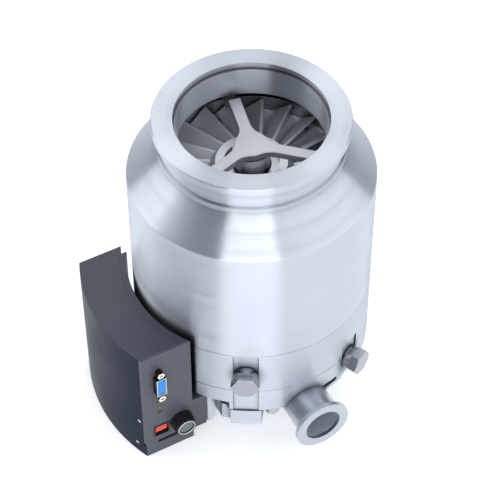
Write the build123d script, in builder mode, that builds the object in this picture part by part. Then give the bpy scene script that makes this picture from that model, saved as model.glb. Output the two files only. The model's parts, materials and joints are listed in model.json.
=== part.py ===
"""Turbomolecular pump with a DN 100 ISO-K intake, a DN 25 ISO-KF fore-vacuum port
and an attached electronic drive.

Units are millimetres. The origin is the centre of the intake flange face, +Z points
out of the intake and -Y is the front, where the purge plug sits. Heights are
Z values, so everything below the intake face is negative.
"""
from build123d import *
from math import cos, radians, sin, sqrt, tan
import os

os.makedirs("parts", exist_ok=True)

# ---------------------------------------------------------------- driving dimensions
# Fits
slip_fit = 0.1            # radial play of a static piece in its seat
running_gap = 0.7         # rotor blade tip to spacer ring, radially
axial_gap = 1.5           # between a rotor row and the next stator row
seal_section = 1.0        # radius of an O-ring's section

# Intake flange and upper casing
flange_radius = 65.0      # DN 100 ISO-K
flange_rim = 5.5          # thickness of the clamped rim
clamp_groove = 2.0        # height of the groove under the rim
groove_radius = 58.5
neck_radius = 60.5
neck_bottom = -20.0
collar_radius = 62.0      # turned band between neck and cone
collar_bottom = -25.0
mouth_radius = 51.0       # centring-ring seat of the flange
mouth_depth = 4.5
throat_radius = 49.0
throat_seat = -23.5       # the bore is relieved from here down, round the spider
throat_relief = 0.6
throat_bottom = -26.0
ledge_width = 5.5         # of the ledge that the spider's feet are clamped against
body_radius = 83.0        # casing and base outside
shoulder_top = -47.0      # where the cone meets the cylinder
casing_bore = 71.0        # holds the stator stack
parting_line = -143.5     # casing to base joint
seam_bevel = 0.3

# Bearing spider across the intake
spider_top = -24.0
spider_web = 5.0          # thickness of hub and arms
spider_hub_radius = 11.3
spider_arm_width = 8.2
spider_arm_flat = 43.0    # radius where an arm starts to slope down
spider_first_arm = 105.5  # direction of the first of three arms
spider_arms = 3
spider_fillet = 14.0
spider_foot_top = -34.0   # underside of the casing's ledge
spider_foot_radius = 63.0

# Rotor and stator blades
blade_tip_radius = 64.5
first_row_top = -46.0
rotor_row_heights = [8.5, 7.0, 6.0, 5.0, 4.5]
rotor_row_blades = [20, 24, 28, 32, 36]
rotor_row_pitch = [43.0, 36.0, 31.0, 27.0, 24.0]    # degrees from the plane of rotation
stator_row_heights = [6.5, 5.0, 4.5, 3.5]
stator_row_blades = [20, 22, 24, 26]
stator_row_pitch = [42.0, 38.0, 36.0, 32.0]
blade_thickness = 1.4
first_blade_direction = 89.3
first_blade_lean = 6.4    # offset of the first row's upper edges from the axis
hub_rim_radius = 24.0
hub_rim_top = -40.0
hub_top_radius = 28.0     # at the top of the first row
hub_foot_radius = 40.0    # at the bottom of the last row
stator_rim_width = 2.5    # inner rim of a stator disc

# Holweck stage
bell_thickness = 5.0
sleeve_radius = 60.0
sleeve_wall = 1.5
sleeve_length = 56.0
holweck_gap = 0.5
holweck_liner_radius = 66.0
holweck_flange = 4.0

# Shaft, bearings and motor
shaft_radius = 9.0
recess_radius = 18.4      # opening of the rotor above the shaft
recess_floor = -63.0
journal_radius = 2.8      # runs free inside the touchdown bearing
journal_height = 13.0
touchdown_play = 0.2
magnet_gap = 0.7          # between the stationary and the rotating magnet rings
magnet_ring_radius = 12.5
magnet_ring_bore = 9.5
magnet_rings = 4
magnet_ring_height = 4.6
carrier_bore = 7.5
motor_housing_radius = 45.0
motor_bore = 36.0
motor_core_length = 30.0
motor_core_top = -134.0
motor_slots = 6
stator_tooth_bore = 16.0
magnet_sleeve_wall = 0.7
motor_air_gap = 0.8
bearing_seat_radius = 5.0
bearing_outer_radius = 13.0
bearing_width = 8.0
bearing_top = -179.0
bearing_balls_count = 8

# Base
base_floor_top = -176.0
base_band_line = -181.0   # fine turned step in the outside
base_band_bottom = -203.5
base_relief_top = -195.0  # underside of the band next to the drive
base_bottom = -218.5
plinth_radius = 60.0
foot_angles = [-92.7, 27.3, 147.3]
foot_width_top = 24.6
foot_width_bottom = 21.5
foot_thread_circle = 72.0
foot_thread_radius = 3.4  # M8 tapping size
foot_thread_depth = 16.0
lobe_radius = 79.0        # thick part of the base that carries the drive
lobe_inner = 38.0         # its start, outward from the axis towards the drive
relief_margin = 2.0       # start of the relief in the band, inside the bracket
casing_screw_circle = 77.5
casing_screw_radius = 3.0
casing_screws_count = 6
casing_screw_first = -79.2
casing_screws_exposed = 4  # the last two sit in counterbores beside the drive
casing_thread_depth = 10.0
screw_head_radius = 4.9
screw_head_height = 6.0
cover_radius = 38.0
cover_thickness = 6.0
cover_screw_circle = 35.2
cover_screws_count = 4
cover_screw_radius = 1.25
cover_screw_head = 2.3
cover_screw_length = 12.0
reservoir_radius = 30.0

# Screw plugs
purge_angle, purge_height = -92.7, -163.7
vent_angle, vent_height = -35.0, -186.5
plug_hex = 17.0           # across flats
plug_collar_radius = 8.4
plug_reach = 12.6         # from its seat to the outer face
plug_hex_height = 6.6
plug_thread_radius = 6.0
plug_thread_length = 9.0
plug_pocket_width = 17.6
plug_pocket_depth = 1.4
plug_gasket = 1.0
recess_angle, recess_height = -48.7, -197.8
recess_length, recess_width, recess_depth = 13.0, 4.0, 2.5

# Fore-vacuum port
port_angle, port_height = -62.0, -206.5
port_face_radius = 105.0  # distance of the port face from the pump axis
port_tube_radius = 16.0
port_flange_radius = 20.0
port_flange_rim = 3.0
port_bore = 12.0
port_recess_radius = 13.1
port_recess_depth = 3.0

# Electronic drive, in its own directions: outward and along its front
drive_angle = 209.0
drive_gap = 4.0           # between the pump's body and the drive
drive_shell = 4.5         # depth of the inner housing, up to the seam
drive_depth = 28.0        # depth of the cover beyond the seam
drive_half_length = 47.2  # to the face of the front panel
drive_tail = 51.5         # to the cover's far end
drive_top = -134.0
drive_bottom = -241.0
drive_wall = 2.5
drive_foot_top = -199.5
drive_foot_bottom = -235.0
bracket_inner = 55.0
bracket_plate = 6.5       # thickness of the bracket
bracket_top = -198.5
bracket_bottom = -231.0
panel_thickness = 2.2
panel_bottom = -227.5
panel_slot = 3.0
data_port_shift = 6.53    # outward from the middle of the panel
data_port_height = -163.5
jack_screw_spacing = 25.0
usb_spacing = 15.1        # outward from the power connector
usb_height = -216.5
power_inset = 21.0        # outward from the foot's inner face
power_height = -214.5
power_radius = 8.6
power_length = 9.0
lamps = 3
lamp_shift = 0.5          # outward from the data connector
lamp_drop = 21.45         # from the data connector to the first lamp
lamp_pitch = 5.65
lamp_radius = 1.5
drive_floor = 4.5         # wall of the drive's foot
data_width, data_length = 7.4, 17.2
data_depth, data_reach = 9.0, 5.0
jack_thread = 1.4
usb_width, usb_tall, usb_depth = 11.5, 10.8, 14.0
power_body_radius = 6.4
power_depth = 12.0

# ---------------------------------------------------------------- derived places
stator_tops = []
rotor_tops = [first_row_top]
for row, height in enumerate(stator_row_heights):
    stator_tops.append(rotor_tops[row] - rotor_row_heights[row] - axial_gap)
    rotor_tops.append(stator_tops[row] - height - axial_gap)
last_row_bottom = rotor_tops[-1] - rotor_row_heights[-1]
bell_top = last_row_bottom - 2 * axial_gap
stack_bottom = bell_top - bell_thickness - axial_gap
spider_foot_bottom = spider_foot_top - 4.0
ring_radius = casing_bore - slip_fit
blade_ring_bore = blade_tip_radius + running_gap
sleeve_bottom = bell_top - sleeve_length
carrier_bottom = recess_floor + 2.5
magnet_ring_top = carrier_bottom + magnet_rings * magnet_ring_height
rotor_ring_bore = magnet_ring_radius + magnet_gap
touchdown_bore = journal_radius + touchdown_play
touchdown_width = 5.0
motor_magnet_radius = stator_tooth_bore - motor_air_gap - magnet_sleeve_wall
bearing_bottom = bearing_top - bearing_width
drive_inner_radius = body_radius + drive_gap
drive_seam_radius = drive_inner_radius + drive_shell
drive_outer_radius = drive_seam_radius + drive_depth
drive_foot_inner = bracket_inner + bracket_plate
panel_inner_edge = sqrt(drive_inner_radius**2 - drive_half_length**2)
panel_outer_edge = sqrt(drive_outer_radius**2 - drive_half_length**2)
data_port_out = (panel_inner_edge + panel_outer_edge) / 2 + data_port_shift
lamp_out = data_port_out + lamp_shift
lamp_heights = [data_port_height - lamp_drop - number * lamp_pitch for number in range(lamps)]
power_out = drive_foot_inner + power_inset
usb_out = power_out + usb_spacing


def hub_radius(height):
    """Outside radius of the rotor hub at a height between its first and last row."""
    share = (first_row_top - height) / (first_row_top - last_row_bottom)
    return hub_top_radius + share * (hub_foot_radius - hub_top_radius)


def spoke_plane(angle, distance, height):
    """Plane that faces outward at an angle round the pump, with its own Y upward."""
    out = Vector(cos(radians(angle)), sin(radians(angle)), 0)
    along = Vector(-sin(radians(angle)), cos(radians(angle)), 0)
    return Plane(origin=out * distance + Vector(0, 0, height), x_dir=along, z_dir=out)


def turned(angle, height):
    """Horizontal plane whose X axis points out at an angle round the pump."""
    out = (cos(radians(angle)), sin(radians(angle)), 0)
    return Plane(origin=(0, 0, height), x_dir=out, z_dir=(0, 0, 1))


def ring(outer, inner, top, bottom, mode=Mode.ADD):
    """Flat ring round the pump axis, added to or cut from the part being built."""
    with BuildSketch(Plane.XY.offset(bottom)) as face:
        Circle(outer)
        if inner > 0:
            Circle(inner, mode=Mode.SUBTRACT)
    extrude(face.sketch, amount=top - bottom, mode=mode)


def turned_shape(corners, mode=Mode.ADD):
    """Solid of revolution from corners given as (radius, height)."""
    with BuildSketch(Plane.XZ) as section:
        with BuildLine():
            Polyline(*corners, close=True)
        make_face()
    revolve(section.sketch, axis=Axis.Z, mode=mode)


def seal_ring(radius, height, section=seal_section):
    """O-ring lying round the pump axis."""
    with BuildSketch(Plane.XZ) as round_section:
        with Locations((radius, height)):
            Circle(section)
    revolve(round_section.sketch, axis=Axis.Z)


def spoke(radius, angle, start, end, height, mode=Mode.ADD):
    """Round bar or bore that runs radially from one distance to another."""
    with BuildSketch(spoke_plane(angle, start, height)) as face:
        Circle(radius)
    extrude(face.sketch, amount=end - start, mode=mode)


def blade(row_top, row_height, pitch, root, lean=None):
    """One rotor or stator blade: a slanted strip that runs outward along +X."""
    run = row_height / tan(radians(pitch))
    upper = run / 2 if lean is None else lean
    half = blade_thickness / sin(radians(abs(pitch))) / 2
    middle = row_top - row_height / 2
    corners = [
        (-upper - half, row_height / 2),
        (-upper + half, row_height / 2),
        (run - upper + half, -row_height / 2),
        (run - upper - half, -row_height / 2),
    ]
    reach = max(abs(corner[0]) for corner in corners)
    return middle, corners, sqrt(blade_tip_radius**2 - reach**2)


# ---------------------------------------------------------------- intake housing
# One turned shell: clamped flange, neck, cone and the upper casing that holds the
# stator stack. It is open at the bottom, where the base closes it.
ledge_radius = spider_foot_radius + 1.0
with BuildPart() as intake_housing:
    turned_shape(
        [
            (mouth_radius, 0),
            (flange_radius - 0.5, 0),
            (flange_radius, -0.5),
            (flange_radius, -flange_rim + 0.5),
            (flange_radius - 0.5, -flange_rim),
            (groove_radius, -flange_rim),
            (groove_radius, -flange_rim - clamp_groove),
            (neck_radius, -flange_rim - clamp_groove),
            (neck_radius, neck_bottom),
            (collar_radius, neck_bottom - 1.0),
            (collar_radius, collar_bottom),
            (body_radius, shoulder_top),
            (body_radius, parting_line + seam_bevel),
            (body_radius - seam_bevel, parting_line),
            (casing_bore, parting_line),
            (casing_bore, spider_foot_top - (casing_bore - ledge_radius)),
            (ledge_radius, spider_foot_top),
            (spider_foot_radius - ledge_width, spider_foot_top),
            (spider_foot_radius - ledge_width, spider_foot_top + 2.0),
            (throat_radius + throat_relief, throat_bottom),
            (throat_radius + throat_relief, throat_seat),
            (throat_radius, throat_seat),
            (throat_radius, -mouth_depth),
            (mouth_radius, -mouth_depth),
        ]
    )
    casing_corner = intake_housing.edges().filter_by(GeomType.CIRCLE)
    casing_corner = casing_corner.filter_by(lambda edge: abs(edge.radius - body_radius) < 0.01)
    fillet(casing_corner.sort_by(Axis.Z)[-1], radius=2.5)
    with Locations(Plane.XY.offset(parting_line)):
        with PolarLocations(casing_screw_circle, casing_screws_count, casing_screw_first):
            Cylinder(
                casing_screw_radius + slip_fit / 2,
                casing_thread_depth + 2.0,
                align=(Align.CENTER, Align.CENTER, Align.MIN),
                mode=Mode.SUBTRACT,
            )
intake_housing.part.label = "intake_housing"
export_step(intake_housing.part, "parts/intake_housing.step")

# ---------------------------------------------------------------- bearing spider
# Three arms carry the upper bearing on the axis. They slope down to feet that the
# first ring of the stack clamps against the casing's ledge.
spider_bottom = spider_top - spider_web
spider_drop = spider_top - spider_foot_top
with BuildPart() as bearing_spider:
    for number in range(spider_arms):
        direction = spider_first_arm + number * 360 / spider_arms
        out = (cos(radians(direction)), sin(radians(direction)), 0)
        across = (sin(radians(direction)), -cos(radians(direction)), 0)
        with BuildSketch(Plane(origin=(0, 0, 0), x_dir=out, z_dir=across)):
            with BuildLine():
                Polyline(
                    (0, spider_top),
                    (spider_arm_flat, spider_top),
                    (spider_arm_flat + spider_drop, spider_foot_top),
                    (spider_foot_radius, spider_foot_top),
                    (spider_foot_radius, spider_foot_bottom),
                    (spider_arm_flat + spider_drop - 3.0, spider_foot_bottom),
                    (spider_arm_flat - 2.0, spider_bottom),
                    (0, spider_bottom),
                    close=True,
                )
            make_face()
        extrude(amount=spider_arm_width / 2, both=True)
    with BuildSketch(Plane.XY.offset(spider_bottom)) as web:
        Circle(spider_hub_radius)
        for number in range(spider_arms):
            direction = spider_first_arm + number * 360 / spider_arms
            with Locations(Location((0, 0, 0), (0, 0, direction))):
                Rectangle(
                    spider_arm_flat - 3.0,
                    spider_arm_width,
                    align=(Align.MIN, Align.CENTER),
                )
        inner_corners = web.vertices().filter_by(
            lambda corner: Vector(corner.X, corner.Y, 0).length < spider_hub_radius + 1.0
        )
        fillet(inner_corners, radius=spider_fillet)
    extrude(amount=spider_web)
    ring(spider_foot_radius, 0, 0, spider_foot_bottom, mode=Mode.INTERSECT)
    ring(4.0 + slip_fit, 0, spider_bottom + 3.0, spider_bottom, mode=Mode.SUBTRACT)
bearing_spider.part.label = "bearing_spider"
export_step(bearing_spider.part, "parts/bearing_spider.step")

# Stationary half of the magnet bearing: a turned carrier under the spider, its four
# magnet rings, and below them the seat of the touchdown bearing.
touchdown_top = carrier_bottom + touchdown_width
with BuildPart() as magnet_carrier:
    turned_shape(
        [
            (0, spider_bottom + 3.0),
            (4.0, spider_bottom + 3.0),
            (4.0, spider_bottom),
            (magnet_ring_radius, spider_bottom),
            (magnet_ring_radius, magnet_ring_top),
            (magnet_ring_bore - slip_fit, magnet_ring_top),
            (magnet_ring_bore - slip_fit, carrier_bottom),
            (carrier_bore, carrier_bottom),
            (carrier_bore, touchdown_top),
            (journal_radius + 1.5, touchdown_top),
            (journal_radius + 1.5, recess_floor + journal_height + 1.5),
            (0, recess_floor + journal_height + 1.5),
        ]
    )
magnet_carrier.part.label = "magnet_carrier"
export_step(magnet_carrier.part, "parts/magnet_carrier.step")

with BuildPart() as stator_magnets:
    for number in range(magnet_rings):
        top = magnet_ring_top - number * magnet_ring_height
        ring(magnet_ring_radius, magnet_ring_bore, top - slip_fit, top - magnet_ring_height + slip_fit)
stator_magnets.part.label = "stator_magnets"
export_step(stator_magnets.part, "parts/stator_magnets.step")

with BuildPart() as rotor_magnets:
    for number in range(magnet_rings):
        top = magnet_ring_top - number * magnet_ring_height
        ring(
            recess_radius - slip_fit / 2,
            rotor_ring_bore,
            top - slip_fit,
            top - magnet_ring_height + slip_fit,
        )
rotor_magnets.part.label = "rotor_magnets"
export_step(rotor_magnets.part, "parts/rotor_magnets.step")


# ---------------------------------------------------------------- ball bearings
def ball_bearing(name, bore, outer, top, width, balls):
    """Deep-groove ball bearing as four nodes: two rings, a crown cage and its balls."""
    pitch_radius = (bore + outer) / 2
    ball_radius = 0.3 * (outer - bore)
    shoulder = 0.42 * ball_radius
    groove = ball_radius * 1.03
    middle = top - width / 2
    with BuildPart() as inner_ring:
        ring(pitch_radius - shoulder, bore, top, top - width)
        with Locations((0, 0, middle)):
            Torus(pitch_radius, groove, mode=Mode.SUBTRACT)
    inner_ring.part.label = f"{name}_inner_ring"
    export_step(inner_ring.part, f"parts/{name}_inner_ring.step")
    with BuildPart() as outer_ring:
        ring(outer, pitch_radius + shoulder, top, top - width)
        with Locations((0, 0, middle)):
            Torus(pitch_radius, groove, mode=Mode.SUBTRACT)
    outer_ring.part.label = f"{name}_outer_ring"
    export_step(outer_ring.part, f"parts/{name}_outer_ring.step")
    with BuildPart() as ball_set:
        with Locations((0, 0, middle)):
            with PolarLocations(pitch_radius, balls):
                Sphere(ball_radius)
    ball_set.part.label = f"{name}_balls"
    export_step(ball_set.part, f"parts/{name}_balls.step")
    with BuildPart() as cage:
        cage_wall = shoulder * 0.75
        ring(
            pitch_radius + cage_wall,
            pitch_radius - cage_wall,
            middle + ball_radius * 0.45,
            top - width + 0.4,
        )
        with Locations((0, 0, middle)):
            with PolarLocations(pitch_radius, balls):
                Sphere(ball_radius + 0.08, mode=Mode.SUBTRACT)
    cage.part.label = f"{name}_cage"
    export_step(cage.part, f"parts/{name}_cage.step")


ball_bearing("touchdown", touchdown_bore, carrier_bore - slip_fit / 2, touchdown_top, touchdown_width, 7)
ball_bearing(
    "main_bearing",
    bearing_seat_radius,
    bearing_outer_radius,
    bearing_top,
    bearing_width,
    bearing_balls_count,
)

# ---------------------------------------------------------------- rotor
# One machined piece: a tapering hub with five rows of blades and the bell that
# carries the Holweck sleeve. The first row is twisted and cut wider at the tips.
first_root = hub_rim_radius - 2.0
root_middle, root_corners, first_tip = blade(
    first_row_top, rotor_row_heights[0], rotor_row_pitch[0] + 9.0, first_root, first_blade_lean - 0.8
)
tip_middle, tip_corners, first_tip = blade(
    first_row_top, rotor_row_heights[0], rotor_row_pitch[0] - 4.0, first_root, first_blade_lean
)
with BuildPart() as first_row_blade:
    with BuildSketch(spoke_plane(0, first_root, root_middle)):
        with BuildLine():
            Polyline(*root_corners, close=True)
        make_face()
    with BuildSketch(spoke_plane(0, first_tip, tip_middle)):
        with BuildLine():
            Polyline(*tip_corners, close=True)
        make_face()
    loft(ruled=True)

rotor_blades = [first_row_blade.part]
for row in range(1, len(rotor_row_blades)):
    row_root = hub_radius(rotor_tops[row]) - 1.0
    middle, corners, tip = blade(
        rotor_tops[row], rotor_row_heights[row], rotor_row_pitch[row], row_root
    )
    with BuildPart() as row_blade:
        with BuildSketch(spoke_plane(0, row_root, middle)):
            with BuildLine():
                Polyline(*corners, close=True)
            make_face()
        extrude(amount=tip - row_root)
    rotor_blades.append(row_blade.part)

hub_wall = 4.0
bell_rim = sleeve_radius - sleeve_wall
skirt_bottom = bell_top - bell_thickness - 7.0
with BuildPart() as turbo_rotor:
    turned_shape(
        [
            (recess_radius, hub_rim_top),
            (hub_rim_radius, hub_rim_top),
            (hub_top_radius, first_row_top),
            (hub_foot_radius, last_row_bottom),
            (hub_foot_radius, bell_top),
            (bell_rim, bell_top),
            (bell_rim, bell_top - bell_thickness),
            (hub_foot_radius - hub_wall, bell_top - bell_thickness),
            (hub_foot_radius - 2 * hub_wall, rotor_tops[3]),
            (shaft_radius + 2 * hub_wall, rotor_tops[3] + 2.0),
            (shaft_radius + 1.6 * hub_wall, skirt_bottom),
            (shaft_radius, skirt_bottom),
            (shaft_radius, recess_floor),
            (recess_radius, recess_floor),
        ]
    )
    for row, one_blade in enumerate(rotor_blades):
        first_direction = first_blade_direction if row == 0 else 0
        with PolarLocations(0, rotor_row_blades[row], first_direction):
            add(one_blade)
turbo_rotor.part.label = "turbo_rotor"
export_step(turbo_rotor.part, "parts/turbo_rotor.step")

with BuildPart() as holweck_sleeve:
    ring(sleeve_radius, bell_rim, bell_top, sleeve_bottom)
holweck_sleeve.part.label = "holweck_sleeve"
export_step(holweck_sleeve.part, "parts/holweck_sleeve.step")

# Shaft: free journal on top, thick middle for the rotor and the motor magnet, and a
# thin seat for the main bearing, which the oil nut holds.
shaft_end = bearing_bottom - 10.0
with BuildPart() as rotor_shaft:
    turned_shape(
        [
            (0, recess_floor + journal_height),
            (journal_radius - 0.4, recess_floor + journal_height),
            (journal_radius, recess_floor + journal_height - 0.4),
            (journal_radius, recess_floor),
            (shaft_radius, recess_floor),
            (shaft_radius, base_floor_top),
            (bearing_seat_radius + 2.0, base_floor_top),
            (bearing_seat_radius + 2.0, bearing_top),
            (bearing_seat_radius, bearing_top),
            (bearing_seat_radius, shaft_end + 1.0),
            (bearing_seat_radius - 1.0, shaft_end),
            (0, shaft_end),
        ]
    )
rotor_shaft.part.label = "rotor_shaft"
export_step(rotor_shaft.part, "parts/rotor_shaft.step")

with BuildPart() as oil_nut:
    turned_shape(
        [
            (bearing_seat_radius, bearing_bottom),
            (bearing_seat_radius + 2.0, bearing_bottom),
            (bearing_seat_radius + 2.8, bearing_bottom - 2.0),
            (bearing_seat_radius + 1.0, bearing_bottom - 8.0),
            (bearing_seat_radius, bearing_bottom - 8.0),
        ]
    )
oil_nut.part.label = "oil_nut"
export_step(oil_nut.part, "parts/oil_nut.step")

motor_core_bottom = motor_core_top - motor_core_length
with BuildPart() as motor_magnet:
    ring(motor_magnet_radius, shaft_radius, motor_core_top, motor_core_bottom)
motor_magnet.part.label = "motor_magnet"
export_step(motor_magnet.part, "parts/motor_magnet.step")

with BuildPart() as magnet_sleeve:
    ring(
        motor_magnet_radius + magnet_sleeve_wall,
        motor_magnet_radius,
        motor_core_top + 1.0,
        motor_core_bottom - 1.0,
    )
magnet_sleeve.part.label = "magnet_sleeve"
export_step(magnet_sleeve.part, "parts/magnet_sleeve.step")

# ---------------------------------------------------------------- stator stack
# Spacer rings and half-disc stators, clamped between the casing's ledge and the
# Holweck liner. The first ring follows the casing's cone and holds the spider.
ring_tops = [spider_foot_bottom]
ring_bottoms = []
for row, height in enumerate(stator_row_heights):
    ring_bottoms.append(stator_tops[row])
    ring_tops.append(stator_tops[row] - height)
ring_bottoms.append(stack_bottom)

with BuildPart() as spacer_ring_1:
    cone_top = spider_foot_top
    turned_shape(
        [
            (spider_foot_radius - 4.0, ring_tops[0]),
            (ring_radius - (ring_tops[0] - (cone_top - (casing_bore - ledge_radius))), ring_tops[0]),
            (ring_radius, cone_top - (casing_bore - ledge_radius)),
            (ring_radius, ring_bottoms[0]),
            (blade_ring_bore, ring_bottoms[0]),
            (blade_ring_bore, first_row_top + axial_gap),
        ]
    )
spacer_ring_1.part.label = "spacer_ring_1"
export_step(spacer_ring_1.part, "parts/spacer_ring_1.step")

for row in range(1, len(ring_tops)):
    with BuildPart() as spacer_ring:
        ring(ring_radius, blade_ring_bore, ring_tops[row], ring_bottoms[row])
    spacer_ring.part.label = f"spacer_ring_{row + 1}"
    export_step(spacer_ring.part, f"parts/spacer_ring_{row + 1}.step")

for row, height in enumerate(stator_row_heights):
    top = stator_tops[row]
    bottom = top - height
    inner_rim = hub_radius(bottom) + 2 * running_gap
    root = inner_rim + stator_rim_width - 0.6
    middle, corners, tip = blade(top, height, -stator_row_pitch[row], root)
    with BuildPart() as stator_blade:
        with BuildSketch(spoke_plane(0, root, middle)):
            with BuildLine():
                Polyline(*corners, close=True)
            make_face()
        extrude(amount=blade_ring_bore + 2.2 - root)
    with BuildPart() as stator_disc:
        ring(inner_rim + stator_rim_width, inner_rim, top, bottom)
        ring(ring_radius, blade_ring_bore + 0.8, top, bottom)
        with PolarLocations(0, stator_row_blades[row], 180 / stator_row_blades[row]):
            add(stator_blade.part)
        with Locations((0, 0, middle)):
            Box(2 * casing_bore, 2 * slip_fit, 2 * height, mode=Mode.SUBTRACT)
    stator_disc.part.label = f"stator_disc_{row + 1}"
    export_step(stator_disc.part, f"parts/stator_disc_{row + 1}.step")

# ---------------------------------------------------------------- base
# One casting: band, plinth, three feet, the lobe that carries the drive, the seats
# of the plugs and of the fore-vacuum port, and the floor with the main bearing.
liner_radius = holweck_liner_radius - slip_fit
spigot_top = parting_line + 5.5
bearing_well = bearing_outer_radius + 5.0
reservoir_top = -197.0
cover_top = base_bottom + cover_thickness
port_seat = sqrt(plinth_radius**2 - port_tube_radius**2) - 0.3
port_spigot = port_bore + 0.5
port_spigot_length = 4.0
port_duct_radius = 3.5
port_duct_place = motor_housing_radius + port_duct_radius + 0.5
head_seat_high = base_relief_top + screw_head_height
screw_places = [casing_screw_first + number * 360 / casing_screws_count for number in range(casing_screws_count)]
feed_radius = 6.5
feed_height = -212.0
feed_inner = bracket_inner - 11.0
bracket_screw_radius = 2.5
bracket_screw_depth = 12.0
bracket_screw_side = 35.0
bracket_screw_height = -210.0


def drive_block(start, end, side_from, side_to, top, bottom, mode=Mode.ADD):
    """Block in the drive's own directions: outward, along its front, and height."""
    with BuildSketch(turned(drive_angle, bottom)) as face:
        with Locations(((start + end) / 2, (side_from + side_to) / 2)):
            Rectangle(end - start, side_to - side_from)
    extrude(face.sketch, amount=top - bottom, mode=mode)


def drive_arc(inner, outer, side_from, side_to, top, bottom, mode=Mode.ADD):
    """Slice of the drive between two arcs round the pump axis."""
    with BuildSketch(turned(drive_angle, bottom)) as face:
        Circle(outer)
        Circle(inner, mode=Mode.SUBTRACT)
        with Locations((outer / 2, (side_from + side_to) / 2)):
            Rectangle(outer, side_to - side_from, mode=Mode.INTERSECT)
    extrude(face.sketch, amount=top - bottom, mode=mode)


def drive_rod(radius, side, height, start, end, mode=Mode.ADD):
    """Round bar or bore that runs outward, straight into the drive."""
    with BuildSketch(spoke_plane(drive_angle, start, height)) as face:
        with Locations((side, 0)):
            Circle(radius)
    extrude(face.sketch, amount=end - start, mode=mode)


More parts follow.
